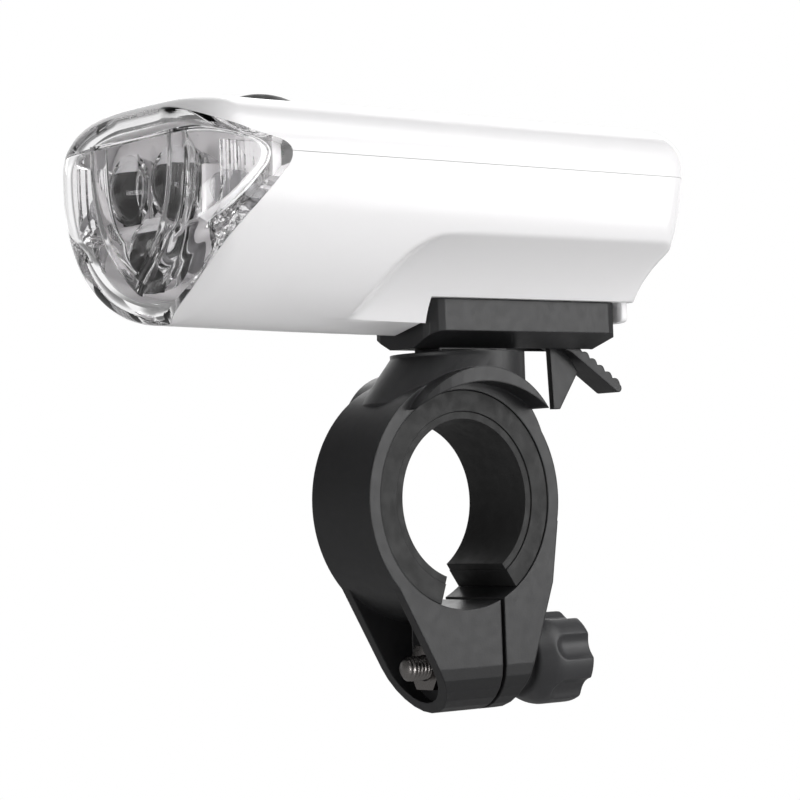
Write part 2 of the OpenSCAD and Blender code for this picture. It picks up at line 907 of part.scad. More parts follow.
// A soft strip behind the parting line, all round the inside.
module case_seal() {
    color([0.25, 0.25, 0.25])
        intersection() {
            difference() {
                body_loft(wall + 2 * seat);
                body_loft(wall + 1);
            }
            box([-past, lens_tip[0] + 2, parting_z - 1], [past, 2 * past, parting_z + 1]);
        }
}

// The shield rib's outline, drawn in X and Z: straight sides that curve in to a point.
module shield(inset) {
    w = shield_x - inset;
    h = shield_bend - shield_low - 1.3 * inset;
    n = shield_power;
    lower = [for (a = [0:10:180]) [w * power(cos(a), n), shield_bend - h * power(sin(a), n)]];
    polygon(concat([[w, shield_top]], lower, [[-w, shield_top]]));
}

// The clear lens: a shell that wraps round both front corners, with the shield rib behind its face.
module front_lens() {
    color([0.85, 0.9, 0.95, 0.5])
        union() {
            difference() {
                intersection() {
                    body_loft(0);
                    lens_zone();
                }
                body_loft(wall);
            }
            along(inner_front - lap, shield_rear)
                difference() {
                    shield(0);
                    shield(shield_rib);
                }
        }
}

// The plate that fills the front of the body and carries the collimators and the side lamps.
module lamp_frame() {
    inset = wall + 0.25;
    color([0.85, 0.85, 0.87])
        difference() {
            union() {
                intersection() {
                    body_loft(inset);
                    box([-past, frame_y, 0], [past, frame_y + frame_t, 3 * past]);
                }
                both_sides()
                    box(side_lamp - side_arm,
                        [side_lamp[0], frame_y + frame_t / 2, side_lamp[2] + side_arm[2]]);
                for (z = board_post_z)
                    both_sides()
                        long_rod(post_r, frame_y + frame_t / 2, board_y - seat, x = board_post_x, z = z);
            }
            for (p = optic_places)
                long_rod(led_r + room, -2 * past, past, x = p[0], z = p[1]);
        }
}

// A collimator: a bowl that widens forwards, hollow where the emitter sits.
module optic(p) {
    r = optic_d / 2;
    y1 = frame_y - seat;
    cup = led_r + room;
    rim = cup + 0.8;
    flare = [for (t = [0:0.125:1]) [rim + (r - rim) * pow(t, 0.75), y1 - (optic_l - 0.6) * t]];
    color([0.9, 0.93, 0.96, 0.6])
        turned(p[0], p[1])
            polygon(concat(
                [[cup, y1]], flare,
                [[r - 0.3, optic_front], [0, optic_front - optic_crown], [0, y1 - 4.2], [cup, y1 - 3]]
            ));
}

module optic_1() {
    optic(optic_places[0]);
}

module optic_2() {
    optic(optic_places[1]);
}

module optic_3() {
    optic(optic_places[2]);
}

// An emitter: a flange on the board, a barrel and a dome.
module led(p) {
    dome = [for (a = [90:-15:0]) [led_r * sin(a), frame_y - 0.6 - led_r * cos(a)]];
    color([0.95, 0.9, 0.6])
        turned(p[0], p[1])
            polygon(concat([[0, board_y - seat / 2], [led_r, board_y - seat / 2]], dome));
}

module led_1() {
    led(optic_places[0]);
}

module led_2() {
    led(optic_places[1]);
}

module led_3() {
    led(optic_places[2]);
}

module led_board() {
    color([0.15, 0.35, 0.2])
        translate([-board_half, board_y, board_post_z[0] - post_r])
            cube([2 * board_half, board_t, board_post_z[1] - board_post_z[0] + 2 * post_r]);
}

// A side lamp: a short barrel with a dome that looks out sideways.
module side_lamp_piece() {
    root_x = side_lamp[0] + seat / 2;
    tip_x = side_lamp[0] + side_lamp_l;
    color([0.8, 0.82, 0.84])
        intersection() {
            union() {
                cross_rod(side_lamp_r, root_x, tip_x, side_lamp[1], side_lamp[2]);
                translate([tip_x, side_lamp[1], side_lamp[2]])
                    sphere(r = side_lamp_r - 0.05);
            }
            cross_rod(side_lamp_r + lap, root_x, half_w, side_lamp[1], side_lamp[2]);
        }
}

module side_lamp_left() {
    side_lamp_piece();
}

module side_lamp_right() {
    mirror([1, 0, 0])
        side_lamp_piece();
}

// The rubber button: a dome, a skirt through the cover and a flange under it.
module power_button() {
    dome_r = (button_r * button_r + button_h * button_h) / (2 * button_h);
    edge = asin(button_r / dome_r);
    lip = button_r + 1.2;
    lip_z = flange_rest - 1;
    dome = [
        for (k = [0:8])
            let (a = edge * (1 - k / 8))
                [dome_r * sin(a), button_base + button_h - dome_r * (1 - cos(a))]
    ];
    color([0.09, 0.09, 0.09])
        translate([0, button_y, 0])
            rotate_extrude()
                polygon(concat(
                    [[0, lip_z], [lip, lip_z], [lip, flange_rest], [button_r, flange_rest]],
                    dome
                ));
}

module button_switch() {
    half = 3;
    color([0.2, 0.2, 0.22])
        translate([0, button_y, 0])
            union() {
                box([-half, -half, control_z + seat / 2], [half, half, switch_top - 0.5]);
                translate([0, 0, control_z + 1])
                    cylinder(r = 1.7, h = switch_h - 1);
            }
}

module control_board() {
    half_x = 14;
    color([0.15, 0.35, 0.2])
        box([-half_x, post_y[0] - 2.4, control_z - control_t], [half_x, post_y[1] + 2.4, control_z]);
}

// The cradle under the cells, with an end wall behind each set of contacts.
module battery_tray() {
    y0 = cell_front - nub_h - 2 * contact_t - tray_wall;
    y1 = cell_front + cell_l + nub_h + 2 * contact_t + tray_wall;
    color([0.2, 0.2, 0.21])
        difference() {
            union() {
                box([-tray_half, y0, tray_low], [tray_half, y1, tray_low + tray_cradle]);
                for (y = [y0, y1 - tray_wall])
                    box([-tray_half, y, tray_low], [tray_half, y + tray_wall, cell_z + 4]);
            }
            for (x = [-cell_x, cell_x])
                long_rod(cell_d / 2 + room, y0 + tray_wall, y1 - tray_wall, x = x, z = cell_z);
            for (p = shoe_screw_places)
                translate([0, p[0], tray_low - lap])
                    cylinder(r = shoe_screw_head + 2 * room, h = shoe_screw_cap + room + lap);
        }
}

// A cell with its nub to the front, or to the rear if turned.
module cell(x, turned_round) {
    y0 = cell_front;
    y1 = y0 + cell_l;
    color([0.3, 0.32, 0.36])
        union() {
            long_rod(cell_d / 2, y0, y1, x = x, z = cell_z);
            if (turned_round)
                long_rod(nub_r, y1 - lap, y1 + nub_h, x = x, z = cell_z);
            else
                long_rod(nub_r, y0 - nub_h, y0 + lap, x = x, z = cell_z);
        }
}

module cell_left() {
    cell(cell_x, false);
}

module cell_right() {
    cell(-cell_x, true);
}

// A contact: a thin plate at y, centred at mid_x, with a round boss towards the cell at each of the xs.
module contact(y, facing, xs, half_x, mid_x, boss) {
    boss_r = 2.2;
    plate_h = 8;
    color([0.8, 0.78, 0.7])
        union() {
            translate([mid_x - half_x, y - contact_t / 2, cell_z - plate_h / 2])
                cube([2 * half_x, contact_t, plate_h]);
            for (k = [0:len(xs) - 1])
                translate([xs[k], y, cell_z])
                    rotate([-90 * facing, 0, 0])
                        cylinder(r = boss_r, h = boss[k]);
        }
}

module contact_bridge() {
    y = cell_front - nub_h - 1.5 * contact_t + seat;
    near = contact_t + nub_h - 2 * seat;
    contact(y, 1, [cell_x, -cell_x], cell_x + contact_half, 0, [contact_t - seat, near]);
}

module contact_left() {
    y = cell_front + cell_l + nub_h + 1.5 * contact_t - seat;
    contact(y, -1, [cell_x], contact_half, cell_x, [contact_t + nub_h - 2 * seat]);
}

module contact_right() {
    y = cell_front + cell_l + nub_h + 1.5 * contact_t - seat;
    contact(y, -1, [-cell_x], contact_half, -cell_x, [contact_t - seat]);
}

clamp_ring();
liner();
inner_pad();
clamp_nut();
clamp_washer();
clamp_screw();
knob();
swivel_screw();
swivel_plate();
shoe();
release_lever();
lever_pin();
shoe_screw_front();
shoe_screw_rear();
lower_case();
top_cover();
case_seal();
front_lens();
lamp_frame();
optic_1();
optic_2();
optic_3();
led_1();
led_2();
led_3();
led_board();
side_lamp_left();
side_lamp_right();
power_button();
button_switch();
control_board();
battery_tray();
cell_left();
cell_right();
contact_bridge();
contact_left();
contact_right();
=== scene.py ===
"""Looks of a bicycle headlight: a white housing with a clear wrap-round lens on a black clamp bracket."""

import json
import math

import bmesh
import bpy
import numpy as np
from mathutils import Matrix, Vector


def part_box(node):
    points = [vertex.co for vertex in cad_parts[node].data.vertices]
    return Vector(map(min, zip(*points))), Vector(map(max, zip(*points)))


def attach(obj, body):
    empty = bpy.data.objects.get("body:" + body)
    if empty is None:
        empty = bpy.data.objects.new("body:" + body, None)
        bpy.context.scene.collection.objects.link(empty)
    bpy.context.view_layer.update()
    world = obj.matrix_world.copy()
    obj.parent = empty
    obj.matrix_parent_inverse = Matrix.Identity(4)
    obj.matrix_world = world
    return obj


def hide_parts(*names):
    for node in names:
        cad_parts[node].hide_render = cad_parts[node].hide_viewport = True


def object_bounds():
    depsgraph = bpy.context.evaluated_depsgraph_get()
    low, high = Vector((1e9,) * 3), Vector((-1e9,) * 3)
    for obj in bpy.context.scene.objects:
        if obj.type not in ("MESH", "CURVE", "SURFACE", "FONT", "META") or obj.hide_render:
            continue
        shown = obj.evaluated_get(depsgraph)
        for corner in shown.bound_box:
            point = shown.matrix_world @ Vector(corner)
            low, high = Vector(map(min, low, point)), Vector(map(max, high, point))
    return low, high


bl_info = {
    "name": "Bicycle Headlight",
    "version": (1, 0, 0),
    "blender": (4, 5, 0),
    "location": "View3D > Sidebar > Headlight",
    "description": "Dresses the packed headlight with smooth shells, clear optics and moulded finishes",
    "category": "Add Mesh",
}

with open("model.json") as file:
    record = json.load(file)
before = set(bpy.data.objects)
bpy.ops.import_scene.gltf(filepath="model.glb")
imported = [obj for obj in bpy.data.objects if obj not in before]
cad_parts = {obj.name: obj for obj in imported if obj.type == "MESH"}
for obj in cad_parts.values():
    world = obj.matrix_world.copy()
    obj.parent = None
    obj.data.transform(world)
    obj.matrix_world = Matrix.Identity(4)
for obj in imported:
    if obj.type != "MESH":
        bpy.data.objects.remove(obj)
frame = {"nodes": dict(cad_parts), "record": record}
CAD_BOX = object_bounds()
MM = 0.001
MERGE = 1e-7
QUARTER = 0.5 * math.pi


def low(node):
    """Lowest corner of a packed solid, in metres."""
    return np.array(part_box(node)[0])


def high(node):
    """Highest corner of a packed solid, in metres."""
    return np.array(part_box(node)[1])


def middle(node):
    """Centre of a packed solid's box, in metres."""
    return 0.5 * (low(node) + high(node))


# Main lines of the housing, read from the packed solids.
HALF = high("lower_case")[0]
FRONT = low("front_lens")[1]
REAR = high("top_cover")[1]
TOP = high("top_cover")[2]
BELLY = low("lower_case")[2]
SEAM = 0.5 * (low("top_cover")[2] + high("lower_case")[2])
ROOF = high("shoe")[2] + 0.05 * MM
BELLY_END = low("shoe")[1] - 0.3 * MM
SHOE_WIDTH = high("shoe")[0] - low("shoe")[0]
# Setback and rounding of a collimator's front rim.
OPTIC_RIM = 0.3 * MM


def length(name, description, default, **limits):
    """Property for a length in metres, given in millimetres."""
    return bpy.props.FloatProperty(
        name=name, description=description, default=default * MM, unit="LENGTH", precision=5, **limits
    )


def factor(name, description, default, **limits):
    """Property for a plain number."""
    return bpy.props.FloatProperty(name=name, description=description, default=default, **limits)


def slope(name, description, default):
    """Property for an angle in radians, given in degrees."""
    return bpy.props.FloatProperty(
        name=name, description=description, default=math.radians(default), subtype="ANGLE"
    )


def power(name, description, default):
    """Property for a light's power in watts."""
    return bpy.props.FloatProperty(name=name, description=description, default=default, min=0.0, unit="POWER")


def colour(name, description, default):
    """Property for a colour, in linear red, green and blue."""
    return bpy.props.FloatVectorProperty(
        name=name, description=description, default=default, subtype="COLOR", size=3, min=0.0, max=1.0
    )


class HousingForm(bpy.types.PropertyGroup):
    """Shape of the white housing"""

    widest: length("Widest height", "Height at which the housing is widest", 50.0)
    top_power: factor("Top fullness", "Exponent of the section above the widest height", 3.3, min=2.0)
    belly_power: factor("Belly fullness", "Exponent of the section below the widest height", 2.2, min=2.0)
    front_round: length("Front rounding", "Radius round the front face", 6.5)
    rear_round: length("Rear rounding", "Radius round the rear face", 5.0)
    wall: length("Wall", "Thickness of the shells and the lens", 1.9)
    step: length("Step height", "Height of the step above the cheeks", 40.6)
    tuck: length("Tuck", "How far the rear slants forwards down to the step", 2.1)
    tuck_top: length("Tuck top", "Height above which the rear is upright", 55.2)
    cheek_slope: slope("Cheek slope", "Slope at which the cheeks leave the step", 24.0)
    cheek_front: length("Cheek front", "How far ahead of the shoe the cheek's edge leaves the step", 4.8)
    cheek_reach: length("Cheek reach", "How far the cheek's front edge curves forwards", 14.0)
    cheek_ramp: factor("Cheek ramp", "Length of the cheek's front ramp over its depth", 0.9, min=0.1)
    cheek_foot: length("Cheek foot", "Height of the cheek's foot above the belly", 1.1)
    cheek_end: length("Cheek end", "Rounding of the cheek's rear end", 2.2)
    cheek_soft: length("Cheek softness", "Width over which the cheek's edges are rounded", 0.35)
    keel: slope("Keel", "Slope of the belly's underside ahead of the shoe", 13.5)
    chin: length("Chin", "How much higher the belly lies at the front than at the shoe", 1.2)
    gap: length("Seam gap", "Half the gap between neighbouring shells", 0.035)


class LensForm(bpy.types.PropertyGroup):
    """Shape of the clear lens and what shows behind it"""

    nose_back: length("Nose", "How far the lens reaches back at the seam", 14.4)
    rim: length("Rim width", "Width of the thick rim along the lens's edge", 3.0)
    rim_depth: length("Rim depth", "How much thicker the rim is than the wall", 1.5)
    shield_half: length("Shield half width", "Half the width of the shield inside the face", 11.2)
    shield_rib: length("Shield rib", "Thickness of the shield's rib", 1.9)
    shield_top: length("Shield top", "Height of the shield's upper ends above the upper collimators", 6.9)
    dome: length("Dome", "Height of a collimator's domed front", 2.2)
    dome_reach: length("Dome radius", "Radius of a collimator's domed front", 4.4)
    core_half: length("Core half width", "Half the width of a collimator's core", 2.9)
    # Painted light: above this height the core turns white, for the light seen in a collimator.
    core_light_split: length("Core split", "Height above the core's middle at which it turns white", 2.5)
    # Painted highlight: the white lip stands in for the bright line round each side window.
    lip: length("Lip", "Distance of the white lip inside the lens's edge", 3.1)
    painted_highlight_width: length("Lip width", "Width of the white lip", 1.5)
    prism_pitch: length("Prism pitch", "Width of a rib of the side windows' prism plate", 1.25)


class BracketForm(bpy.types.PropertyGroup):
    """Shape of the turned and moulded bracket pieces"""

    thread_pitch: length("Thread pitch", "Distance between the turns of the screw's thread", 0.7)
    thread_depth: length("Thread depth", "Depth of the screw's thread", 0.42)
    flutes: bpy.props.IntProperty(
        name="Flutes", description="Number of flutes round the knob", default=6, min=3
    )
    flute_depth: length("Flute depth", "Depth of a flute of the knob", 1.3)


class HeadlightColours(bpy.types.PropertyGroup):
    """Colours of the finishes"""

    shell: colour("Shell", "Gloss white housing", (0.88, 0.872, 0.88))
    clear: colour("Clear plastic", "Lens and collimators", (0.996, 0.993, 0.997))
    plastic: colour("Black plastic", "Bracket, knob, shoe and lever", (0.016, 0.016, 0.017))
    rubber: colour("Rubber", "Liner, pad, seal and button", (0.014, 0.014, 0.014))
    steel: colour("Steel", "Screws, nut, washer and pins", (0.36, 0.34, 0.33))
    carrier: colour("Carrier", "White plate that carries the collimators", (0.88, 0.86, 0.87))
    # Painted dark reflection: the core's dark part stands in for the dark seen inside a collimator.
    core: colour("Core", "Dark part of a collimator's core", (0.012, 0.01, 0.01))


class StudioForm(bpy.types.PropertyGroup):
    """Camera, floor and light"""

    camera_place: bpy.props.FloatVectorProperty(
        name="Camera place", description="Where the camera stands", size=3, subtype="TRANSLATION",
        unit="LENGTH", default=(0.33055, -0.27657, -0.00037),
    )
    camera_turn: bpy.props.FloatVectorProperty(
        name="Camera turn", description="How the camera is turned", size=3, subtype="EULER",
        unit="ROTATION", default=(math.radians(92.215), math.radians(1.979), math.radians(50.872)),
    )
    focal: factor("Focal length", "Focal length on a 36 mm sensor, in millimetres", 120.99)
    floor_drop: length("Floor", "Height of the floor", -120.0)
    key: power("Key light", "Power of the light at the upper right", 3.6)
    side: power("Side light", "Power of the light at the right", 2.25)
    back: power("Back light", "Power of the light behind, at the left", 1.6)
    front: power("Front light", "Power of the light ahead of the lens", 3.8)


def settings(name):
    """Panel values of one group."""
    return getattr(bpy.context.scene, "headlight_" + name)


def smooth(t):
    """Smooth step: 0 below 0, 1 above 1, 3 t^2 - 2 t^3 between."""
    t = np.clip(t, 0.0, 1.0)
    return t * t * (3.0 - 2.0 * t)


def bezier(start, corner, end, count=24):
    """Quadratic curve (1-t)^2 start + 2 t (1-t) corner + t^2 end, as count + 1 points."""
    t = np.linspace(0.0, 1.0, count + 1)[:, None]
    return (1 - t) ** 2 * np.array(start) + 2 * t * (1 - t) * np.array(corner) + t**2 * np.array(end)


def surface(name, grid, around=False, sharp=35.0):
    """Closed piece over a grid of points: quads between neighbours, doubles merged at poles and seams.

    With around, the last column joins the first.
    """
    rows, columns = grid.shape[:2]
    index = np.arange(rows * columns).reshape(rows, columns)
    if around:
        index = np.concatenate([index, index[:, :1]], axis=1)
    quads = np.stack([index[:-1, :-1], index[1:, :-1], index[1:, 1:], index[:-1, 1:]], axis=-1)
    mesh = bpy.data.meshes.new(name)
    mesh.from_pydata(grid.reshape(-1, 3), [], quads.reshape(-1, 4))
    shape = bmesh.new()
    shape.from_mesh(mesh)
    bmesh.ops.remove_doubles(shape, verts=shape.verts, dist=MERGE)
    bmesh.ops.recalc_face_normals(shape, faces=shape.faces)
    shape.to_mesh(mesh)
    shape.free()
    mesh.shade_smooth()
    mesh.set_sharp_from_angle(angle=math.radians(sharp))
    piece = bpy.data.objects.new(name, mesh)
    bpy.context.scene.collection.objects.link(piece)
    return piece


def dress(piece, body, slot, finish, *nodes):
    """Gives a piece its finish and the body it rides on, and hides the solids that it stands for."""
    piece.data.materials.append(finish)
    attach(piece, body)
    if nodes:
        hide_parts(*nodes)
    return piece


def shell(outer, inner):
    """Loops round a wall: each row runs over the outer surface and back under it.

    Both ends close on the wall's middle.
    """
    rows = np.concatenate([outer, inner[:, ::-1]], axis=1)
    ends = 0.5 * (outer[[0, -1]] + inner[[0, -1]])
    ends = np.concatenate([ends, ends[:, ::-1]], axis=1)
    return np.concatenate([ends[:1], rows, ends[1:]])


def skin(run, side, upper, depth=0.0):
    """Points of the housing's outer form, moved in by depth.

    run goes 0 to 1 out over the front face, 1 to 2 round the front edge, 2 to 3 along the body, 3 to 4 round
    the rear edge and 4 to 5 in over the rear face. side goes 0 to 1 round the section from seam to seam, over
    the top or under the belly. The section is x = w cos^(2/n), z = h sin^(2/n) of an angle, with its own n
    and h above and below the widest height. The belly rises to the chin in a straight line, and the rear
    slants forwards by the tuck.
    """
    form = settings("housing")
    front_r, rear_r = form.front_round - depth, form.rear_round - depth
    front, rear = FRONT + depth, REAR - depth
    turn_in = QUARTER * np.clip(run - 1, 0, 1)
    turn_out = QUARTER * np.clip(run - 3, 0, 1)
    straight = rear - rear_r - front - front_r
    y = front + front_r * (1 - np.cos(turn_in)) + straight * np.clip(run - 2, 0, 1)
    y = y + rear_r * np.sin(turn_out)
    inset = depth + front_r * (1 - np.sin(turn_in)) + rear_r * (1 - np.cos(turn_out))
    rise, drop = TOP - form.widest - inset, form.widest - BELLY - inset
    drop = drop - form.chin * np.clip((BELLY_END - y) / (BELLY_END - FRONT), 0, 1)
    seam = np.arcsin(((SEAM - form.widest) / rise) ** (0.5 * form.top_power))
    turn = seam + side * (math.pi - 2 * seam) if upper else math.pi - seam + side * (math.pi + 2 * seam)
    over = np.sin(turn) > 0
    bend = 2 / np.where(over, form.top_power, form.belly_power)
    x = (HALF - inset) * np.sign(np.cos(turn)) * np.abs(np.cos(turn)) ** bend
    z = form.widest + np.where(over, rise, drop) * np.sign(np.sin(turn)) * np.abs(np.sin(turn)) ** bend
    shrink = np.clip(run, 0, 1) * np.clip(5 - run, 0, 1)
    x, z = x * shrink, SEAM + (z - SEAM) * shrink
    y = y - tuck_at(z) * np.clip(run - 2, 0, 1)
    return np.stack(np.broadcast_arrays(x, y, z), axis=-1)


def tuck_at(z):
    """How far the rear lies ahead of its upper part at a height: straight from tuck_top down to the step."""
    form = settings("housing")
    return form.tuck * np.clip((form.tuck_top - z) / (form.tuck_top - form.step), 0, 1)


def lens_edge(z):
    """How far back the lens reaches at a height, along quadratic curves.

    They are the visor's edge, a blunt nose, a nearly straight lower edge and the turn under the chin. Points
    are (distance behind the front, height) less those of the nose, of the cheeks' step or of the belly.
    """
    nose = np.array([settings("lens").nose_back, SEAM - FRONT])
    step = np.array([0.0, settings("housing").step - FRONT])
    belly = np.array([0.0, BELLY - FRONT])
    crown, brow, tip, cheek = nose + np.array([[-12.4, 7.5], [-11.0, 4.0], [-3.4, 1.9], [-0.9, -2.2]]) * MM
    over_brow, over_tip, at_nose = nose + np.array([[-13.8, 5.2], [-7.6, 2.6], [1.6, 1.0]]) * MM
    jaw, under_jaw = step + np.array([[6.2, 0.6], [2.4, -3.8]]) * MM
    chin, under_chin, end = belly + np.array([[2.8, 5.1], [2.95, 1.6], [6.2, 1.08]]) * MM
    line = np.concatenate([
        bezier(crown, over_brow, brow),
        bezier(brow, over_tip, tip),
        bezier(tip, at_nose, cheek),
        bezier(jaw, under_jaw, chin),
        bezier(chin, under_chin, end),
    ])[::-1]
    return FRONT + np.interp(z - FRONT, line[:, 1], line[:, 0], right=-20 * MM)


def edge_run(side, upper, gap, depth=0.0):
    """Station at which each line of the skin meets the lens's edge, moved back by gap.

    It is found by halving the span of stations.
    """
    near, far = np.zeros_like(side), np.full_like(side, 2.3)
    for _ in range(40):
        half = 0.5 * (near + far)
        point = skin(half, side, upper, depth)
        inside = point[..., 1] < lens_edge(point[..., 2]) + gap
        near, far = np.where(inside, half, near), np.where(inside, far, half)
    return 0.5 * (near + far)


def spaced(start, end, count):
    """Stations from start to end for every line at once, as rows."""
    share = np.linspace(0.0, 1.0, count)[:, None]
    return start + (end - start) * share


def crowded(count, places, width):
    """Numbers from 0 to 1 that crowd together within about width of each place."""
    t = np.linspace(0.0, 1.0, 2001)
    weight = 1 + 2 * sum(np.exp(-(((t - place) / width) ** 2)) for place in places)
    total = np.cumsum(weight) - weight[0]
    return np.interp(np.linspace(0.0, total[-1], count), total, t)


def behind_edge(edge, stops):
    """Stations from the lens's edge back over the housing; stops gives (station, count) on the way."""
    rows, start = [edge[None]], edge
    for stop, count in stops:
        end = np.maximum(stop, edge)
        rows.append(spaced(start, end, count + 1)[1:])
        start = end
    return np.concatenate(rows)


def half_width(z):
    """Half the housing's width below the widest height: w (1 - v^n)^(1/n), with v downwards."""
    form = settings("housing")
    v = np.clip((form.widest - z) / (form.widest - BELLY), 0, 1)
    return HALF * (1 - v**form.belly_power) ** (1 / form.belly_power)


def lesser(a, b, soft):
    """Smaller of two arrays, with the corner between them rounded over soft."""
    return 0.5 * (a + b - np.sqrt((a - b) ** 2 + soft**2))


def cheek_recess(points, depth):
    """Sides of the lower case drawn in to the cheeks, and the belly's underside to a shallow keel.

    A cheek's section is a cove: a quadratic curve from the step down to its foot. To the front it runs out
    over a ramp, whose upper end follows the quarter ellipse u^2 + v^2 = 1, with u forwards and v upwards. The
    side is the smaller of the skin's x and the cheek's x. The inner wall lies further in and higher.
    """
    form = settings("housing")
    x, y, z = np.moveaxis(points, -1, 0)
    shift = 0.8 * depth
    top = np.array([half_width(form.step), form.step])
    foot = np.array([0.5 * SHOE_WIDTH - 0.3 * MM, BELLY + form.cheek_foot])
    fall = np.array([-1.0, -math.tan(form.cheek_slope)])
    corner = top + fall * (top[0] - foot[0] - 1.7 * MM)
    line = np.concatenate([[top - 30 * MM * fall], bezier(top, corner, foot), [[foot[0], 0.0]]])[::-1]
    level = z - shift
    cove = np.interp(level, line[:, 1], line[:, 0])
    v = np.clip((level - BELLY) / (form.step - BELLY), 0, 1)
    edge = BELLY_END - form.cheek_front - form.cheek_reach * np.sqrt(1 - v**2)
    ahead = edge + form.cheek_ramp * np.maximum(half_width(level) - cove, 0) - 1.1 * depth - y
    ramp = -lesser(-ahead / form.cheek_ramp, 0 * ahead, 1.5 * MM)
    past = np.clip((y + tuck_at(z) + depth - REAR) / form.cheek_end + 1, 0, 1)
    end = form.cheek_end * (1 - np.sqrt(1 - past**2))
    drawn = lesser(np.abs(x), cove - shift + ramp - end, form.cheek_soft)
    keel = BELLY + depth + np.abs(x) * math.tan(form.keel)
    lift = np.maximum(keel - z, 0) * smooth((y - BELLY_END) / (25 * MM) + 1.0) * (np.abs(x) < foot[0] + MM)
    return np.stack([np.sign(x) * np.maximum(drawn, 0), y, z + lift], axis=-1)


def cover_piece():
    """Upper shell: the skin over the top from the lens's edge to the rear, with the button's round hole."""
    form = settings("housing")
    side = np.linspace(0.0, 1.0, 141)
    stops = [(2.0, 12), (3.0, 130), (4.0, 14), (5.0, 18)]
    run = behind_edge(edge_run(side, True, form.gap), stops)
    outer, inner = (skin(run, side, True, depth) for depth in (0.0, form.wall))
    for wall in (outer, inner):
        wall[..., 2] = np.maximum(wall[..., 2], SEAM + form.gap)
    cover = surface("cover_shell", shell(outer, inner), around=True)
    hole = np.array([[0, -6], [7.5, -6], [7.5, 3], [0, 3]]) * MM
    cutter = turned_piece("button_hole", hole, "Z", button_base())
    cut = cover.modifiers.new("hole", "BOOLEAN")
    cut.object, cut.operation, cut.solver = cutter, "DIFFERENCE", "EXACT"
    bpy.context.view_layer.update()
    cut_mesh = bpy.data.meshes.new_from_object(cover.evaluated_get(bpy.context.evaluated_depsgraph_get()))
    cover.modifiers.remove(cut)
    cover.data = cut_mesh
    bpy.data.objects.remove(cutter)
    return cover


def button_base():
    """Middle of the button at the top of the cover."""
    centre = middle("power_button")
    return np.array([centre[0], centre[1], TOP])


def case_piece():
    """Lower shell: the skin under the belly, cut level over the shoe, with the cheeks drawn in."""
    form = settings("housing")
    side = crowded(221, (0.19, 0.81), 0.07)
    straight = REAR - form.rear_round - FRONT - form.front_round
    stop = 2.0 + (BELLY_END - FRONT - form.front_round) / straight
    edge = edge_run(side, False, form.gap)
    walls = []
    for depth in (0.0, form.wall):
        ahead = skin(behind_edge(edge, [(2.0, 14), (stop, 70)]), side, False, depth)
        behind = skin(spaced(np.full_like(side, stop), np.full_like(side, 3.0), 70), side, False, depth)
        rear = skin(spaced(np.full_like(side, 3.0), np.full_like(side, 5.0), 30)[1:], side, False, depth)
        behind = np.concatenate([behind, rear])
        ahead, behind = cheek_recess(ahead, depth), cheek_recess(behind, depth)
        behind[..., 2] = np.maximum(behind[..., 2], ROOF + depth)
        wall = np.concatenate([ahead, behind])
        wall[..., 2] = np.minimum(wall[..., 2], SEAM - form.gap)
        walls.append(wall)
    return surface("case_shell", shell(*walls), around=True)


def lug_piece():
    """Stop lug behind the shoe: a rounded block |x|^n + |y|^n + |z|^n = 1, sunk into the case's floor."""
    room, thick, drop, sunk = 0.3 * MM, 1.7 * MM, 3.4 * MM, 0.5 * MM
    start = np.array([low("shoe")[0], high("shoe")[1] + room, ROOF - drop])
    end = np.array([high("shoe")[0], start[1] + thick, ROOF + sunk])
    up = np.linspace(-QUARTER, QUARTER, 41)[:, None]
    turn = np.linspace(0.0, 2 * math.pi, 80, endpoint=False)[None]
    unit = np.stack([np.cos(up) * np.cos(turn), np.cos(up) * np.sin(turn), np.sin(up) + 0 * turn], axis=-1)
    unit = np.sign(unit) * np.abs(unit) ** 0.25
    return surface("case_lug", 0.5 * (start + end) + 0.5 * (end - start) * unit, around=True, sharp=70.0)


def lens_piece():
    """Clear lens: the skin from the middle of the front to the lens's edge, a closed wall with a thick rim."""
    form, housing = settings("lens"), settings("housing")
    sides = [(np.linspace(0.0, 1.0, 121)[:-1], True), (np.linspace(0.0, 1.0, 141)[:-1], False)]
    walls = []
    for depth in (0.0, housing.wall):
        halves = []
        for side, upper in sides:
            edge = edge_run(side, upper, -housing.gap)
            turn = np.minimum(edge, 2.0)
            ones = np.ones_like(side)
            rows = [spaced(0 * ones, ones, 20), spaced(ones, turn, 26)[1:], spaced(turn, edge, 30)[1:]]
            run = np.concatenate(rows)
            points = skin(run, side, upper, depth)
            if depth:
                reach = lens_edge(points[..., 2]) - points[..., 1]
                thick = skin(run, side, upper, depth + form.rim_depth)
                points = points + (thick - points) * smooth(1.4 - reach / form.rim)[..., None]
            halves.append(points)
        walls.append(np.concatenate(halves, axis=1))
    outer, inner = walls
    return surface("lens_clear", np.concatenate([outer, inner[::-1]]), around=True)


def turned_piece(name, profile, axis, centre, steps=96, radius=None, sharp=35.0):
    """Turned piece: a profile of radius and distance carried round the Y or Z axis through centre.

    radius, if given, changes the grid of radii as a function of radius, distance and angle.
    """
    angle = np.linspace(0.0, 2 * math.pi, steps, endpoint=False)
    r = np.repeat(profile[:, :1], steps, axis=1)
    d = np.repeat(profile[:, 1:], steps, axis=1)
    if radius:
        r = radius(r, d, angle[None])
    across, up = r * np.cos(angle), r * np.sin(angle)
    grid = np.stack([across, d, up] if axis == "Y" else [across, up, d], axis=-1)
    return surface(name, grid + np.array(centre), around=True, sharp=sharp)


def filleted(points, radius, count=6):
    """Profile whose inner corners are curves that leave and meet the sides at the given distances."""
    points = np.array(points, dtype=float)
    parts = [points[:1]]
    for before, corner, after, r in zip(points[:-2], points[1:-1], points[2:], radius):
        back, on = before - corner, after - corner
        start = corner + back * min(r / np.linalg.norm(back), 0.5)
        end = corner + on * min(r / np.linalg.norm(on), 0.5)
        parts.append(bezier(start, corner, end, count))
    parts.append(points[-1:])
    return np.concatenate(parts)


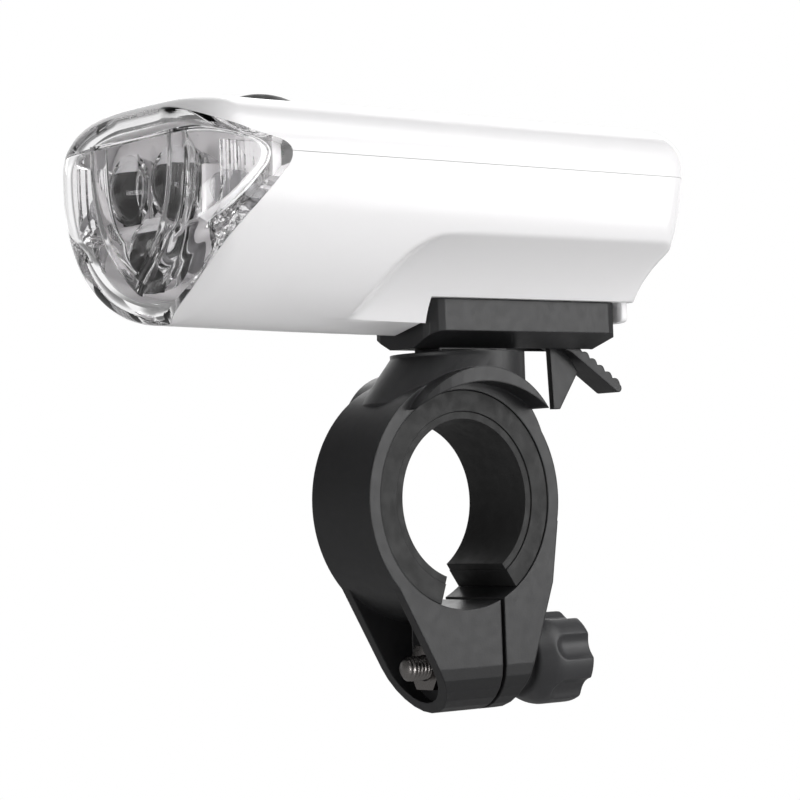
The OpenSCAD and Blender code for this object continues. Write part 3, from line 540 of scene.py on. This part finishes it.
def resampled(profile, count):
    """Profile redrawn with count points at equal distances along it."""
    gaps = np.linalg.norm(np.diff(profile, axis=0), axis=1)
    along = np.concatenate([[0.0], np.cumsum(gaps)])
    at = np.linspace(0.0, along[-1], count)
    return np.stack([np.interp(at, along, profile[:, k]) for k in range(2)], axis=-1)


def button_piece():
    """Rubber button: a spherical dome with a rounded shoulder, a skirt and a flange under the cover."""
    lip = low("power_button")[2] - TOP
    tall = high("power_button")[2] - TOP
    reach, flange, thick = 7.2 * MM, 8.4 * MM, 1.0 * MM
    rise = tall + 0.1 * MM
    ball = (reach**2 + rise**2) / (2 * rise)
    turn = math.asin(reach / ball) * np.linspace(1.0, 0.0, 30)[:, None]
    dome = np.concatenate([ball * np.sin(turn), tall - ball * (1 - np.cos(turn))], axis=1)
    skirt = np.array([[0, lip], [flange, lip], [flange, lip + thick], [reach, lip + thick]])
    return turned_piece("button_dome", np.concatenate([skirt, dome]), "Z", button_base())


def knob_piece():
    """Knob: a turned profile with soft edges, and round flutes cut into its side towards the rear."""
    form = settings("bracket")
    base, end = low("knob"), high("knob")
    axis = middle("clamp_screw")
    reach, tall = 0.5 * (end[0] - base[0]), end[1] - base[1]
    corners = [[0, 0], [4.4, 0], [4.6, 1.8], [5.9, 2.0], [7.5, 5.6], [7.5, 12.7], [6.6, 13.05], [0, 13.3]]
    corners = np.array(corners) * np.array([reach, tall]) / np.max(corners, axis=0)
    profile = resampled(filleted(corners, np.array([0.3, 0.4, 0.5, 1.2, 0.9, 0.9]) * MM), 150)
    phase, pitch = math.radians(16), 2 * math.pi / form.flutes
    hollow, start, soft = 2.6 * MM, 7.4 * MM, 0.25 * MM
    rim = reach - form.flute_depth + hollow

    def fluted(r, d, angle):
        """Radius less a round hollow at each flute, with a round front end."""
        off = (angle - phase + 0.5 * pitch) % pitch - 0.5 * pitch
        side = np.abs(rim * np.sin(off))
        ahead = np.maximum(start - d, 0)
        bite = np.sqrt(np.maximum(hollow**2 - side**2 - ahead**2, 0))
        limit = rim * np.cos(off) - bite
        cut = np.where(bite > 0, limit, 2 * reach)
        mixed = -soft * np.logaddexp(-r / soft, -cut / soft)
        return np.where(r > 0.6 * reach, np.minimum(mixed, r), r)

    return turned_piece("knob_fluted", profile, "Y", (axis[0], base[1], axis[2]), 240, fluted)


def screw_piece():
    """Clamp screw: radius less depth times a triangle wave of distance over pitch minus angle over a turn."""
    form = settings("bracket")
    tip, end = low("clamp_screw"), high("clamp_screw")
    axis = middle("clamp_screw")
    reach = 0.5 * (end[0] - tip[0])
    tall = end[1] - tip[1]
    along = np.linspace(0.0, tall, 620)
    chamfer = np.minimum(reach, reach - 0.6 * MM + along)
    profile = np.concatenate([[[0, 0]], np.stack([chamfer, along], axis=1), [[0, tall]]])

    def threaded(r, d, angle):
        """Radius with the helical groove, left off at the axis."""
        wave = (d / form.thread_pitch - angle / (2 * math.pi)) % 1.0
        groove = form.thread_depth * np.clip(1.25 - 2.5 * np.abs(wave - 0.5), 0, 1)
        return np.where(r > 0, np.minimum(r, reach - groove), r)

    return turned_piece("screw_thread", profile, "Y", (axis[0], tip[1], axis[2]), 48, threaded, sharp=60.0)


def optic_piece(number):
    """Collimator: a clear bowl whose radius grows with the 0.75th power of its depth, and a domed front."""
    node = f"optic_{number}"
    centre, front, back = middle(node), low(node)[1], high(node)[1]
    reach = 0.5 * (high(node)[0] - low(node)[0])
    foot, collar = 3.6 * MM, 0.6 * MM
    deep = back - front - OPTIC_RIM - collar
    t = np.linspace(0.0, 1.0, 30)[:, None]
    bowl = np.concatenate([foot + (reach - foot) * t**0.75, back - deep * t], axis=1)
    crown_r = np.linspace(reach - OPTIC_RIM, 0.0, 40)[:, None]
    crown = np.concatenate([crown_r, front + dome_at(crown_r)], axis=1)
    cup = np.array([[0, -4.2], [1.6, -4.0], [2.8, -3.0], [2.8, 0]]) * MM + np.array([0, back])
    profile = np.concatenate([cup, bowl, crown])
    return turned_piece(f"collimator_{number}", profile, "Y", (centre[0], 0.0, centre[2]), 80)


def dome_at(r):
    """How far a collimator's front lies behind its solid's front at a radius: a rim less a parabolic dome."""
    form = settings("lens")
    return OPTIC_RIM - form.dome * np.maximum(1 - (r / form.dome_reach) ** 2, 0)


def painted_core_piece(number):
    """Core in a collimator, painted dark below and white above for the dark reflection and the light seen in
    the bowl: an upright barrel x = w u (1 - 0.3 v^2) close behind the domed front.
    """
    form = settings("lens")
    node = f"optic_{number}"
    centre, front = middle(node), low(node)[1]
    room, cover, thick = 0.1 * MM, 0.45 * MM, 0.4 * MM
    reach = 0.5 * (high(node)[0] - low(node)[0]) - room
    v = np.linspace(-1.0, 1.0, 81)[:, None]
    u = np.linspace(-1.0, 1.0, 25)[None]
    x = form.core_half * u * (1 - 0.3 * v**2)
    y = front + dome_at(np.hypot(x, reach * v)) + cover
    face = np.stack(np.broadcast_arrays(x, y, reach * v), axis=-1)
    back = face + np.array([0, thick, 0])
    return surface(f"core_{number}", shell(face, back) + np.array([centre[0], 0, centre[2]]), around=True)


def shield_piece():
    """Shield rib behind the lens's face: a band along upright sides that curve in to a point below.

    The band's section is the rounded square |a|^n + |b|^n = 1.
    """
    form = settings("lens")
    face = FRONT + settings("housing").wall - 0.2 * MM
    back = low("optic_1")[1] - 0.3 * MM
    bend_z = middle("optic_1")[2]
    deep = bend_z - middle("optic_3")[2] + 5.7 * MM
    rib = form.shield_rib
    outer = shield_line(form.shield_half, deep)
    inner = shield_line(form.shield_half - rib, deep - 1.3 * rib)
    mid, half = 0.5 * (outer + inner), 0.5 * (outer - inner)
    a = np.linspace(0.0, 2 * math.pi, 28, endpoint=False)
    wide = np.sign(np.cos(a)) * np.abs(np.cos(a)) ** 0.6
    through = np.sign(np.sin(a)) * np.abs(np.sin(a)) ** 0.6
    xz = mid[:, None] + half[:, None] * wide[None, :, None]
    y = 0.5 * (face + back) + 0.5 * (back - face) * through[None] + np.zeros(len(mid))[:, None]
    band = np.stack([xz[..., 0], y, bend_z + xz[..., 1]], axis=-1)
    caps = band.mean(axis=1, keepdims=True) + np.zeros_like(band)
    return surface("lens_shield", np.concatenate([caps[:1], band, caps[-1:]]), around=True)


def shield_line(wide, deep):
    """Line of the shield in x and z, from end to end round the point: x = w (1 - v^3) down each side."""
    top = settings("lens").shield_top
    v = np.linspace(0.0, 1.0, 61)[:, None]
    side = np.concatenate([wide * (1 - v**3), top - (top + deep) * v], axis=1)
    return np.concatenate([side, side[-2::-1] * np.array([-1, 1])])


def painted_highlight_piece(sign):
    """White lip behind a side window, a painted highlight for the bright line round it: a flat band inside the
    wall that follows the lens's edge.
    """
    form, wall = settings("lens"), settings("housing").wall
    spans = ((np.linspace(0.22, 0.0, 40), True), (np.linspace(1.0, 0.84, 60), False))
    rows = []
    for depth in (wall + 0.25 * MM, wall + 0.8 * MM):
        for gap in (form.lip, form.lip + form.painted_highlight_width):
            line = [skin(edge_run(side, upper, -gap, depth), side, upper, depth) for side, upper in spans]
            rows.append(np.concatenate(line))
    loop = np.stack([rows[0], rows[1], rows[3], rows[2]], axis=1) * np.array([sign, 1, 1])
    caps = loop.mean(axis=1, keepdims=True) + np.zeros_like(loop)
    name = "lens_painted_highlight_left" if sign > 0 else "lens_painted_highlight_right"
    return surface(name, np.concatenate([caps[:1], loop, caps[-1:]]), around=True, sharp=60.0)


def prism_piece(sign):
    """Prism plate behind a side window: upright triangular ribs above, and crossed slanting ones below.

    A rib's height is |s mod 1 - 1/2|, with s the distance across it over its pitch.
    """
    form, housing = settings("lens"), settings("housing")
    rib, plate, inside = 0.9 * MM, 0.6 * MM, 1.6 * MM
    lamp = middle("side_lamp_left")
    v = np.linspace(-10.5 * MM, 6.2 * MM, 120)[:, None]
    u = np.linspace(-3.6 * MM, 5.0 * MM, 90)[None]
    z = lamp[2] + v + 0 * u
    y = lamp[1] + u * smooth((v + 13 * MM) / (9 * MM)) - 2.0 * MM * smooth(-v / (9 * MM))
    below = smooth(-(v + 2 * MM) / (2.5 * MM))
    upright = np.abs((y / form.prism_pitch) % 1.0 - 0.5)
    slants = ((0.8, 1.3 * form.prism_pitch), (-1.1, 1.6 * form.prism_pitch))
    crossed = sum(np.abs(((y + lean * z) / pitch) % 1.0 - 0.5) for lean, pitch in slants)
    height = (upright * (1 - below) + crossed * below) * rib
    side = half_width(np.minimum(z, housing.widest)) - housing.wall - inside
    face = np.stack([side + height, y, z], axis=-1)
    back = np.stack([side - plate + 0 * y, y, z], axis=-1)
    name = "window_prism_left" if sign > 0 else "window_prism_right"
    return surface(name, shell(face, back) * np.array([sign, 1, 1]), around=True, sharp=20.0)


def new_finish(name, tint, **sockets):
    """New material with a principled shader whose sockets are set straight from their names."""
    finish = bpy.data.materials.new(name)
    finish.use_nodes = True
    tree = finish.node_tree
    shader = tree.nodes["Principled BSDF"]
    shader.inputs["Base Color"].default_value = (*tint, 1.0)
    for socket, value in sockets.items():
        shader.inputs[socket.replace("_", " ")].default_value = value
    return finish, tree, shader


def grain(tree, scale, detail=3.0):
    """Noise over the piece's own coordinates, scale in features for each metre."""
    place = tree.nodes.new("ShaderNodeTexCoord")
    noise = tree.nodes.new("ShaderNodeTexNoise")
    noise.inputs["Scale"].default_value = scale
    noise.inputs["Detail"].default_value = detail
    tree.links.new(place.outputs["Object"], noise.inputs["Vector"])
    return noise.outputs["Fac"]


def spread(tree, value, least, most):
    """Value from 0.3 to 0.7 spread over least to most."""
    node = tree.nodes.new("ShaderNodeMapRange")
    for socket, number in {"From Min": 0.3, "From Max": 0.7, "To Min": least, "To Max": most}.items():
        node.inputs[socket].default_value = number
    tree.links.new(value, node.inputs["Value"])
    return node.outputs["Result"]


def tinted(tree, shader, value, tint, change):
    """Base colour that varies from tint to tint times change with value."""
    mix = tree.nodes.new("ShaderNodeMix")
    mix.data_type = "RGBA"
    mix.inputs["A"].default_value = (*tint, 1.0)
    mix.inputs["B"].default_value = (*[min(c * change, 1.0) for c in tint], 1.0)
    tree.links.new(value, mix.inputs["Factor"])
    tree.links.new(mix.outputs["Result"], shader.inputs["Base Color"])


def relief(tree, shader, height, depth, edge=0.0):
    """Bump of a given depth in metres, over edges rounded by edge metres where that is not zero."""
    bump = tree.nodes.new("ShaderNodeBump")
    bump.inputs["Strength"].default_value = 1.0
    bump.inputs["Distance"].default_value = depth
    tree.links.new(height, bump.inputs["Height"])
    if edge:
        bevel = tree.nodes.new("ShaderNodeBevel")
        bevel.samples = 6
        bevel.inputs["Radius"].default_value = edge
        tree.links.new(bevel.outputs["Normal"], bump.inputs["Normal"])
    tree.links.new(bump.outputs["Normal"], shader.inputs["Normal"])


def moulded(name, tint, rough, coarse, depth, edge=0.0, change=1.25, **sockets):
    """Moulded plastic or rubber: mottled colour, uneven gloss and a fine grain, with soft edges."""
    finish, tree, shader = new_finish(name, tint, **sockets)
    tinted(tree, shader, grain(tree, 0.06 * coarse), tint, change)
    tree.links.new(spread(tree, grain(tree, 0.25 * coarse), *rough), shader.inputs["Roughness"])
    relief(tree, shader, grain(tree, coarse), depth, edge)
    return finish


def clear_plastic(name, tint, rough, waves):
    """Clear plastic with faint moulding waves; it lets shadow rays through."""
    finish, tree, shader = new_finish(
        name, tint, Transmission_Weight=1.0, IOR=1.49, Specular_IOR_Level=0.15, Roughness=rough
    )
    relief(tree, shader, grain(tree, 90.0, 1.0), waves)
    path = tree.nodes.new("ShaderNodeLightPath")
    through = tree.nodes.new("ShaderNodeBsdfTransparent")
    through.inputs["Color"].default_value = (*tint, 1.0)
    mix = tree.nodes.new("ShaderNodeMixShader")
    tree.links.new(path.outputs["Is Shadow Ray"], mix.inputs[0])
    tree.links.new(shader.outputs["BSDF"], mix.inputs[1])
    tree.links.new(through.outputs["BSDF"], mix.inputs[2])
    tree.links.new(mix.outputs["Shader"], tree.nodes["Material Output"].inputs["Surface"])
    return finish


def metal(name, tint, rough):
    """Plated steel with fine uneven gloss."""
    finish, tree, shader = new_finish(name, tint, Metallic=1.0)
    tinted(tree, shader, grain(tree, 400.0), tint, 0.85)
    tree.links.new(spread(tree, grain(tree, 1800.0), *rough), shader.inputs["Roughness"])
    relief(tree, shader, grain(tree, 3000.0), 4e-6, 0.15 * MM)
    return finish


def feed(tree, socket, value):
    """Gives a socket a number, or a link where the value is another node's output."""
    if isinstance(value, float):
        socket.default_value = value
    else:
        tree.links.new(value, socket)


def finish_named(name):
    """Finish with a name, made when it is first asked for."""
    full = "headlight_" + name
    found = bpy.data.materials.get(full)
    if found:
        return found
    tints = settings("colours")
    black = dict(rough=(0.37, 0.44), coarse=2600.0, depth=1.0e-5, edge=0.35 * MM, change=1.15)
    # Painted light: the knob's black plastic at twice its tint, a lighter copy for the light on the knob.
    knob_painted_light_tint = [2.0 * part for part in tints.plastic]
    mouldings = {
        "white_shell": dict(tint=tints.shell, rough=(0.16, 0.24), coarse=700.0, depth=1.5e-6, change=0.985),
        "black_plastic": dict(tint=tints.plastic, **black),
        "black_plastic_painted_lighter": dict(tint=knob_painted_light_tint, **black),
        "black_rubber": dict(
            tint=tints.rubber, rough=(0.5, 0.68), coarse=1900.0, depth=1.6e-5, edge=0.2 * MM, change=1.5
        ),
        "emitter": dict(
            tint=(0.62, 0.61, 0.63), rough=(0.12, 0.22), coarse=800.0, depth=1e-6, change=0.9,
            Transmission_Weight=0.6,
        ),
        "frame_plastic": dict(
            tint=tints.carrier, rough=(0.25, 0.35), coarse=900.0, depth=4e-6, edge=0.2 * MM, change=0.96
        ),
        "circuit_board": dict(
            tint=(0.02, 0.12, 0.05), rough=(0.3, 0.5), coarse=700.0, depth=8e-6, edge=0.1 * MM, change=0.6
        ),
        "tray_plastic": dict(
            tint=(0.05, 0.05, 0.052), rough=(0.4, 0.55), coarse=1500.0, depth=1e-5, edge=0.2 * MM, change=1.3
        ),
        "cell_sleeve": dict(
            tint=(0.10, 0.11, 0.13), rough=(0.2, 0.35), coarse=600.0, depth=3e-6, edge=0.2 * MM, change=1.3
        ),
        "switch": dict(
            tint=(0.08, 0.08, 0.09), rough=(0.35, 0.5), coarse=1500.0, depth=8e-6, edge=0.15 * MM, change=1.3
        ),
        # Painted light and reflection: the core's dark part paints the dark reflection in a collimator, its
        # white part the light seen there.
        "core_painted_dark_reflection": dict(
            tint=tints.core, rough=(0.4, 0.5), coarse=900.0, depth=4e-6, change=1.4, Specular_IOR_Level=0.0
        ),
        "core_painted_light": dict(tint=(0.94, 0.93, 0.94), rough=(0.3, 0.4), coarse=900.0, depth=3e-6, change=0.97),
    }
    metals = {
        "contact_metal": dict(tint=(0.62, 0.58, 0.5), rough=(0.25, 0.4)),
        "zinc_steel": dict(tint=tints.steel, rough=(0.22, 0.36)),
    }
    if name == "clear_plastic":
        return clear_plastic(full, tints.clear, rough=0.01, waves=2e-5)
    if name in metals:
        return metal(full, **metals[name])
    return moulded(full, **mouldings[name])


class HEADLIGHT_OT_stage(bpy.types.Operator):
    """Adds the camera, the pale floor and the soft light"""

    bl_idname = "headlight.stage"
    bl_label = "Camera, floor and light"

    def execute(self, context):
        form = settings("studio")
        scene = context.scene
        scene.view_settings.view_transform = "Standard"
        camera = bpy.data.objects.new("camera", bpy.data.cameras.new("camera"))
        camera.location, camera.rotation_euler = form.camera_place, form.camera_turn
        camera.data.lens, camera.data.sensor_width = form.focal, 36.0
        camera.data.clip_start, camera.data.clip_end = 0.01, 50.0
        scene.collection.objects.link(camera)
        scene.camera = camera
        self.world(scene)
        self.floor(scene, form.floor_drop)
        for name, place, size, watts in (
            ("key_light", (0.5, 0.28, 0.6), 0.6, form.key),
            ("side_light", (0.62, 0.45, 0.08), 0.45, form.side),
            ("back_light", (-0.5, 0.5, 0.45), 0.6, form.back),
            ("front_light", (0.15, -0.75, -0.2), 0.5, form.front),
        ):
            self.lamp(scene, name, place, size, watts)
        return {"FINISHED"}

    def world(self, scene):
        """World by kind of ray.

        It is white to the camera, white through glass but for a dim patch ahead at the left, dim in gloss but
        for the white backdrop behind the object, and an even pale light otherwise.
        """
        up, backdrop, patch = (0.0, 0.0, 1.0), (-0.77, 0.63, 0.04), (-0.77, -0.63, 0.04)
        world = bpy.data.worlds.new("studio")
        world.use_nodes = True
        scene.world = world
        tree = world.node_tree
        path = tree.nodes.new("ShaderNodeLightPath")
        background = tree.nodes["Background"]
        background.inputs["Color"].default_value = (1.0, 1.0, 1.0, 1.0)
        dusk = self.sky(tree, up, (-0.3, 0.7), 0.25, 0.03)
        gloss = self.sky(tree, backdrop, (0.6, 0.95), dusk, 1.0)
        glass = self.sky(tree, patch, (0.8, 0.97), 1.0, 0.2)
        strength = 0.3
        for ray, seen in (("Glossy", gloss), ("Transmission", glass), ("Camera", 1.0)):
            mix = tree.nodes.new("ShaderNodeMix")
            tree.links.new(path.outputs[f"Is {ray} Ray"], mix.inputs["Factor"])
            feed(tree, mix.inputs["A"], strength)
            feed(tree, mix.inputs["B"], seen)
            strength = mix.outputs["Result"]
        tree.links.new(strength, background.inputs["Strength"])

    def sky(self, tree, axis, span, start, end):
        """Brightness that goes from start to end as a direction's share along an axis crosses a span."""
        place = tree.nodes.new("ShaderNodeTexCoord")
        along = tree.nodes.new("ShaderNodeVectorMath")
        along.operation = "DOT_PRODUCT"
        along.inputs[1].default_value = axis
        tree.links.new(place.outputs["Generated"], along.inputs[0])
        node = tree.nodes.new("ShaderNodeMapRange")
        node.inputs["From Min"].default_value, node.inputs["From Max"].default_value = span
        feed(tree, node.inputs["To Min"], start)
        feed(tree, node.inputs["To Max"], end)
        tree.links.new(along.outputs["Value"], node.inputs["Value"])
        return node.outputs["Result"]

    def floor(self, scene, drop):
        """Round floor z = drop, of rings that widen with the square of their number.

        Far out it turns to the white of the background, and in gloss it is dim everywhere.
        """
        reach, pale = 6.0, (0.86, 0.86, 0.86)
        ring = np.linspace(0.0, 1.0, 24)[:, None] ** 2 * reach
        turn = np.linspace(0.0, 2 * math.pi, 64, endpoint=False)[None]
        x, y = ring * np.cos(turn), ring * np.sin(turn)
        piece = surface("floor", np.stack([x, y, np.full_like(x, drop)], axis=-1), around=True)
        finish, tree, shader = new_finish("studio_floor", pale, Roughness=0.8)
        tinted(tree, shader, grain(tree, 6.0), pale, 0.985)
        place = tree.nodes.new("ShaderNodeTexCoord")
        out = tree.nodes.new("ShaderNodeVectorMath")
        out.operation = "LENGTH"
        tree.links.new(place.outputs["Object"], out.inputs[0])
        fade = tree.nodes.new("ShaderNodeMapRange")
        fade.interpolation_type = "SMOOTHSTEP"
        fade.inputs["From Min"].default_value, fade.inputs["From Max"].default_value = 0.3, 0.62
        tree.links.new(out.outputs["Value"], fade.inputs["Value"])
        far = fade.outputs["Result"]
        path = tree.nodes.new("ShaderNodeLightPath")
        look = shader.outputs["BSDF"]
        for ray, strength, where in (("Glossy", 0.25, 1.0), ("Transmission", 1.0, far), ("Camera", 1.0, far)):
            share = tree.nodes.new("ShaderNodeMath")
            share.operation = "MULTIPLY"
            tree.links.new(path.outputs[f"Is {ray} Ray"], share.inputs[0])
            feed(tree, share.inputs[1], where)
            glow = tree.nodes.new("ShaderNodeEmission")
            glow.inputs["Strength"].default_value = strength
            mix = tree.nodes.new("ShaderNodeMixShader")
            tree.links.new(share.outputs["Value"], mix.inputs[0])
            tree.links.new(look, mix.inputs[1])
            tree.links.new(glow.outputs["Emission"], mix.inputs[2])
            look = mix.outputs["Shader"]
        tree.links.new(look, tree.nodes["Material Output"].inputs["Surface"])
        piece.data.materials.append(finish)

    def lamp(self, scene, name, place, size, watts):
        """Square soft light that looks at the middle of the object."""
        light = bpy.data.lights.new(name, "AREA")
        light.size, light.energy = size, watts
        lamp = bpy.data.objects.new(name, light)
        lamp.location = place
        aim = 0.5 * (np.array(CAD_BOX[0]) + np.array(CAD_BOX[1])) - np.array(place)
        flat = math.hypot(aim[0], aim[1])
        lamp.rotation_euler = (math.atan2(flat, -aim[2]), 0.0, math.atan2(-aim[0], aim[1]))
        scene.collection.objects.link(lamp)


class HEADLIGHT_OT_solids(bpy.types.Operator):
    """Gives every packed solid the finish of its material slot"""

    bl_idname = "headlight.solids"
    bl_label = "Finishes of the solids"

    def execute(self, context):
        for part in frame["record"]["subparts"]:
            materials = frame["nodes"][part["node"]].data.materials
            materials.clear()
            materials.append(finish_named(part["material_slot"]))
        return {"FINISHED"}


class HEADLIGHT_OT_housing(bpy.types.Operator):
    """Adds the smooth upper and lower shells of the housing and the stop lug"""

    bl_idname = "headlight.housing"
    bl_label = "Housing shells"

    def execute(self, context):
        white = finish_named("white_shell")
        dress(cover_piece(), "light", "white_shell", white, "top_cover")
        dress(case_piece(), "light", "white_shell", white, "lower_case")
        dress(lug_piece(), "light", "white_shell", white)
        return {"FINISHED"}


class HEADLIGHT_OT_lens(bpy.types.Operator):
    """Adds the clear lens with its shield rib, white lips painted as highlights round the side windows, and
    prism plates
    """

    bl_idname = "headlight.lens"
    bl_label = "Lens and shield"

    def execute(self, context):
        clear = finish_named("clear_plastic")
        dress(lens_piece(), "light", "clear_plastic", clear, "front_lens")
        dress(shield_piece(), "light", "clear_plastic", clear)
        for sign in (1, -1):
            # Painted highlight: a white lip round each side window.
            dress(painted_highlight_piece(sign), "light", "white_shell", finish_named("white_shell"))
            dress(prism_piece(sign), "light", "clear_plastic", clear)
        return {"FINISHED"}


class HEADLIGHT_OT_optics(bpy.types.Operator):
    """Adds the collimators and their cores, painted with a dark reflection below and light above"""

    bl_idname = "headlight.optics"
    bl_label = "Collimators"

    def execute(self, context):
        clear = finish_named("clear_plastic")
        for number in (1, 2, 3):
            dress(optic_piece(number), "light", "clear_plastic", clear, f"optic_{number}")
            core = dress(painted_core_piece(number), "light", "emitter", finish_named("core_painted_dark_reflection"))
            core.data.materials.append(finish_named("core_painted_light"))
            # Painted light: faces above the split take the white finish, the rest the painted dark reflection.
            heights = np.zeros(len(core.data.polygons) * 3)
            core.data.polygons.foreach_get("center", heights)
            split = middle(f"optic_{number}")[2] + settings("lens").core_light_split
            core.data.polygons.foreach_set("material_index", (heights[2::3] > split).astype(np.int32))
        return {"FINISHED"}


class HEADLIGHT_OT_button(bpy.types.Operator):
    """Adds the rubber power button"""

    bl_idname = "headlight.button"
    bl_label = "Power button"

    def execute(self, context):
        dress(button_piece(), "button", "black_rubber", finish_named("black_rubber"), "power_button")
        return {"FINISHED"}


class HEADLIGHT_OT_clamp_screw(bpy.types.Operator):
    """Adds the fluted knob and the threaded clamp screw"""

    bl_idname = "headlight.clamp_screw"
    bl_label = "Knob and screw"

    def execute(self, context):
        # Painted light: the knob takes the lighter copy of the black plastic.
        dress(knob_piece(), "knob", "black_plastic", finish_named("black_plastic_painted_lighter"), "knob")
        dress(screw_piece(), "knob", "zinc_steel", finish_named("zinc_steel"), "clamp_screw")
        return {"FINISHED"}


GROUPS = {
    "housing": HousingForm, "lens": LensForm, "bracket": BracketForm,
    "colours": HeadlightColours, "studio": StudioForm,
}
OPERATORS = (
    HEADLIGHT_OT_stage, HEADLIGHT_OT_solids, HEADLIGHT_OT_housing, HEADLIGHT_OT_lens,
    HEADLIGHT_OT_optics, HEADLIGHT_OT_button, HEADLIGHT_OT_clamp_screw,
)


class HEADLIGHT_PT_panel(bpy.types.Panel):
    """Lists the headlight's pieces and values in the sidebar"""

    bl_idname = "HEADLIGHT_PT_panel"
    bl_label = "Bicycle Headlight"
    bl_space_type = "VIEW_3D"
    bl_region_type = "UI"
    bl_category = "Headlight"

    def draw(self, context):
        for operator in OPERATORS:
            self.layout.operator(operator.bl_idname)
        for name, group in GROUPS.items():
            box = self.layout.box()
            box.label(text=group.__doc__)
            for field in group.__annotations__:
                box.prop(settings(name), field)


def register():
    """Registers the classes and hangs the groups of values on the scene."""
    for group in (*GROUPS.values(), *OPERATORS, HEADLIGHT_PT_panel):
        bpy.utils.register_class(group)
    for name, group in GROUPS.items():
        setattr(bpy.types.Scene, "headlight_" + name, bpy.props.PointerProperty(type=group))


def unregister():
    """Takes the groups of values and the classes away again."""
    for name in GROUPS:
        delattr(bpy.types.Scene, "headlight_" + name)
    for group in (HEADLIGHT_PT_panel, *OPERATORS[::-1], *reversed(GROUPS.values())):
        bpy.utils.unregister_class(group)


def main():
    """Builds the headlight."""
    register()
    bpy.ops.headlight.stage()
    bpy.ops.headlight.solids()
    bpy.ops.headlight.housing()
    bpy.ops.headlight.lens()
    bpy.ops.headlight.optics()
    bpy.ops.headlight.button()
    bpy.ops.headlight.clamp_screw()


if __name__ == "__main__":
    main()
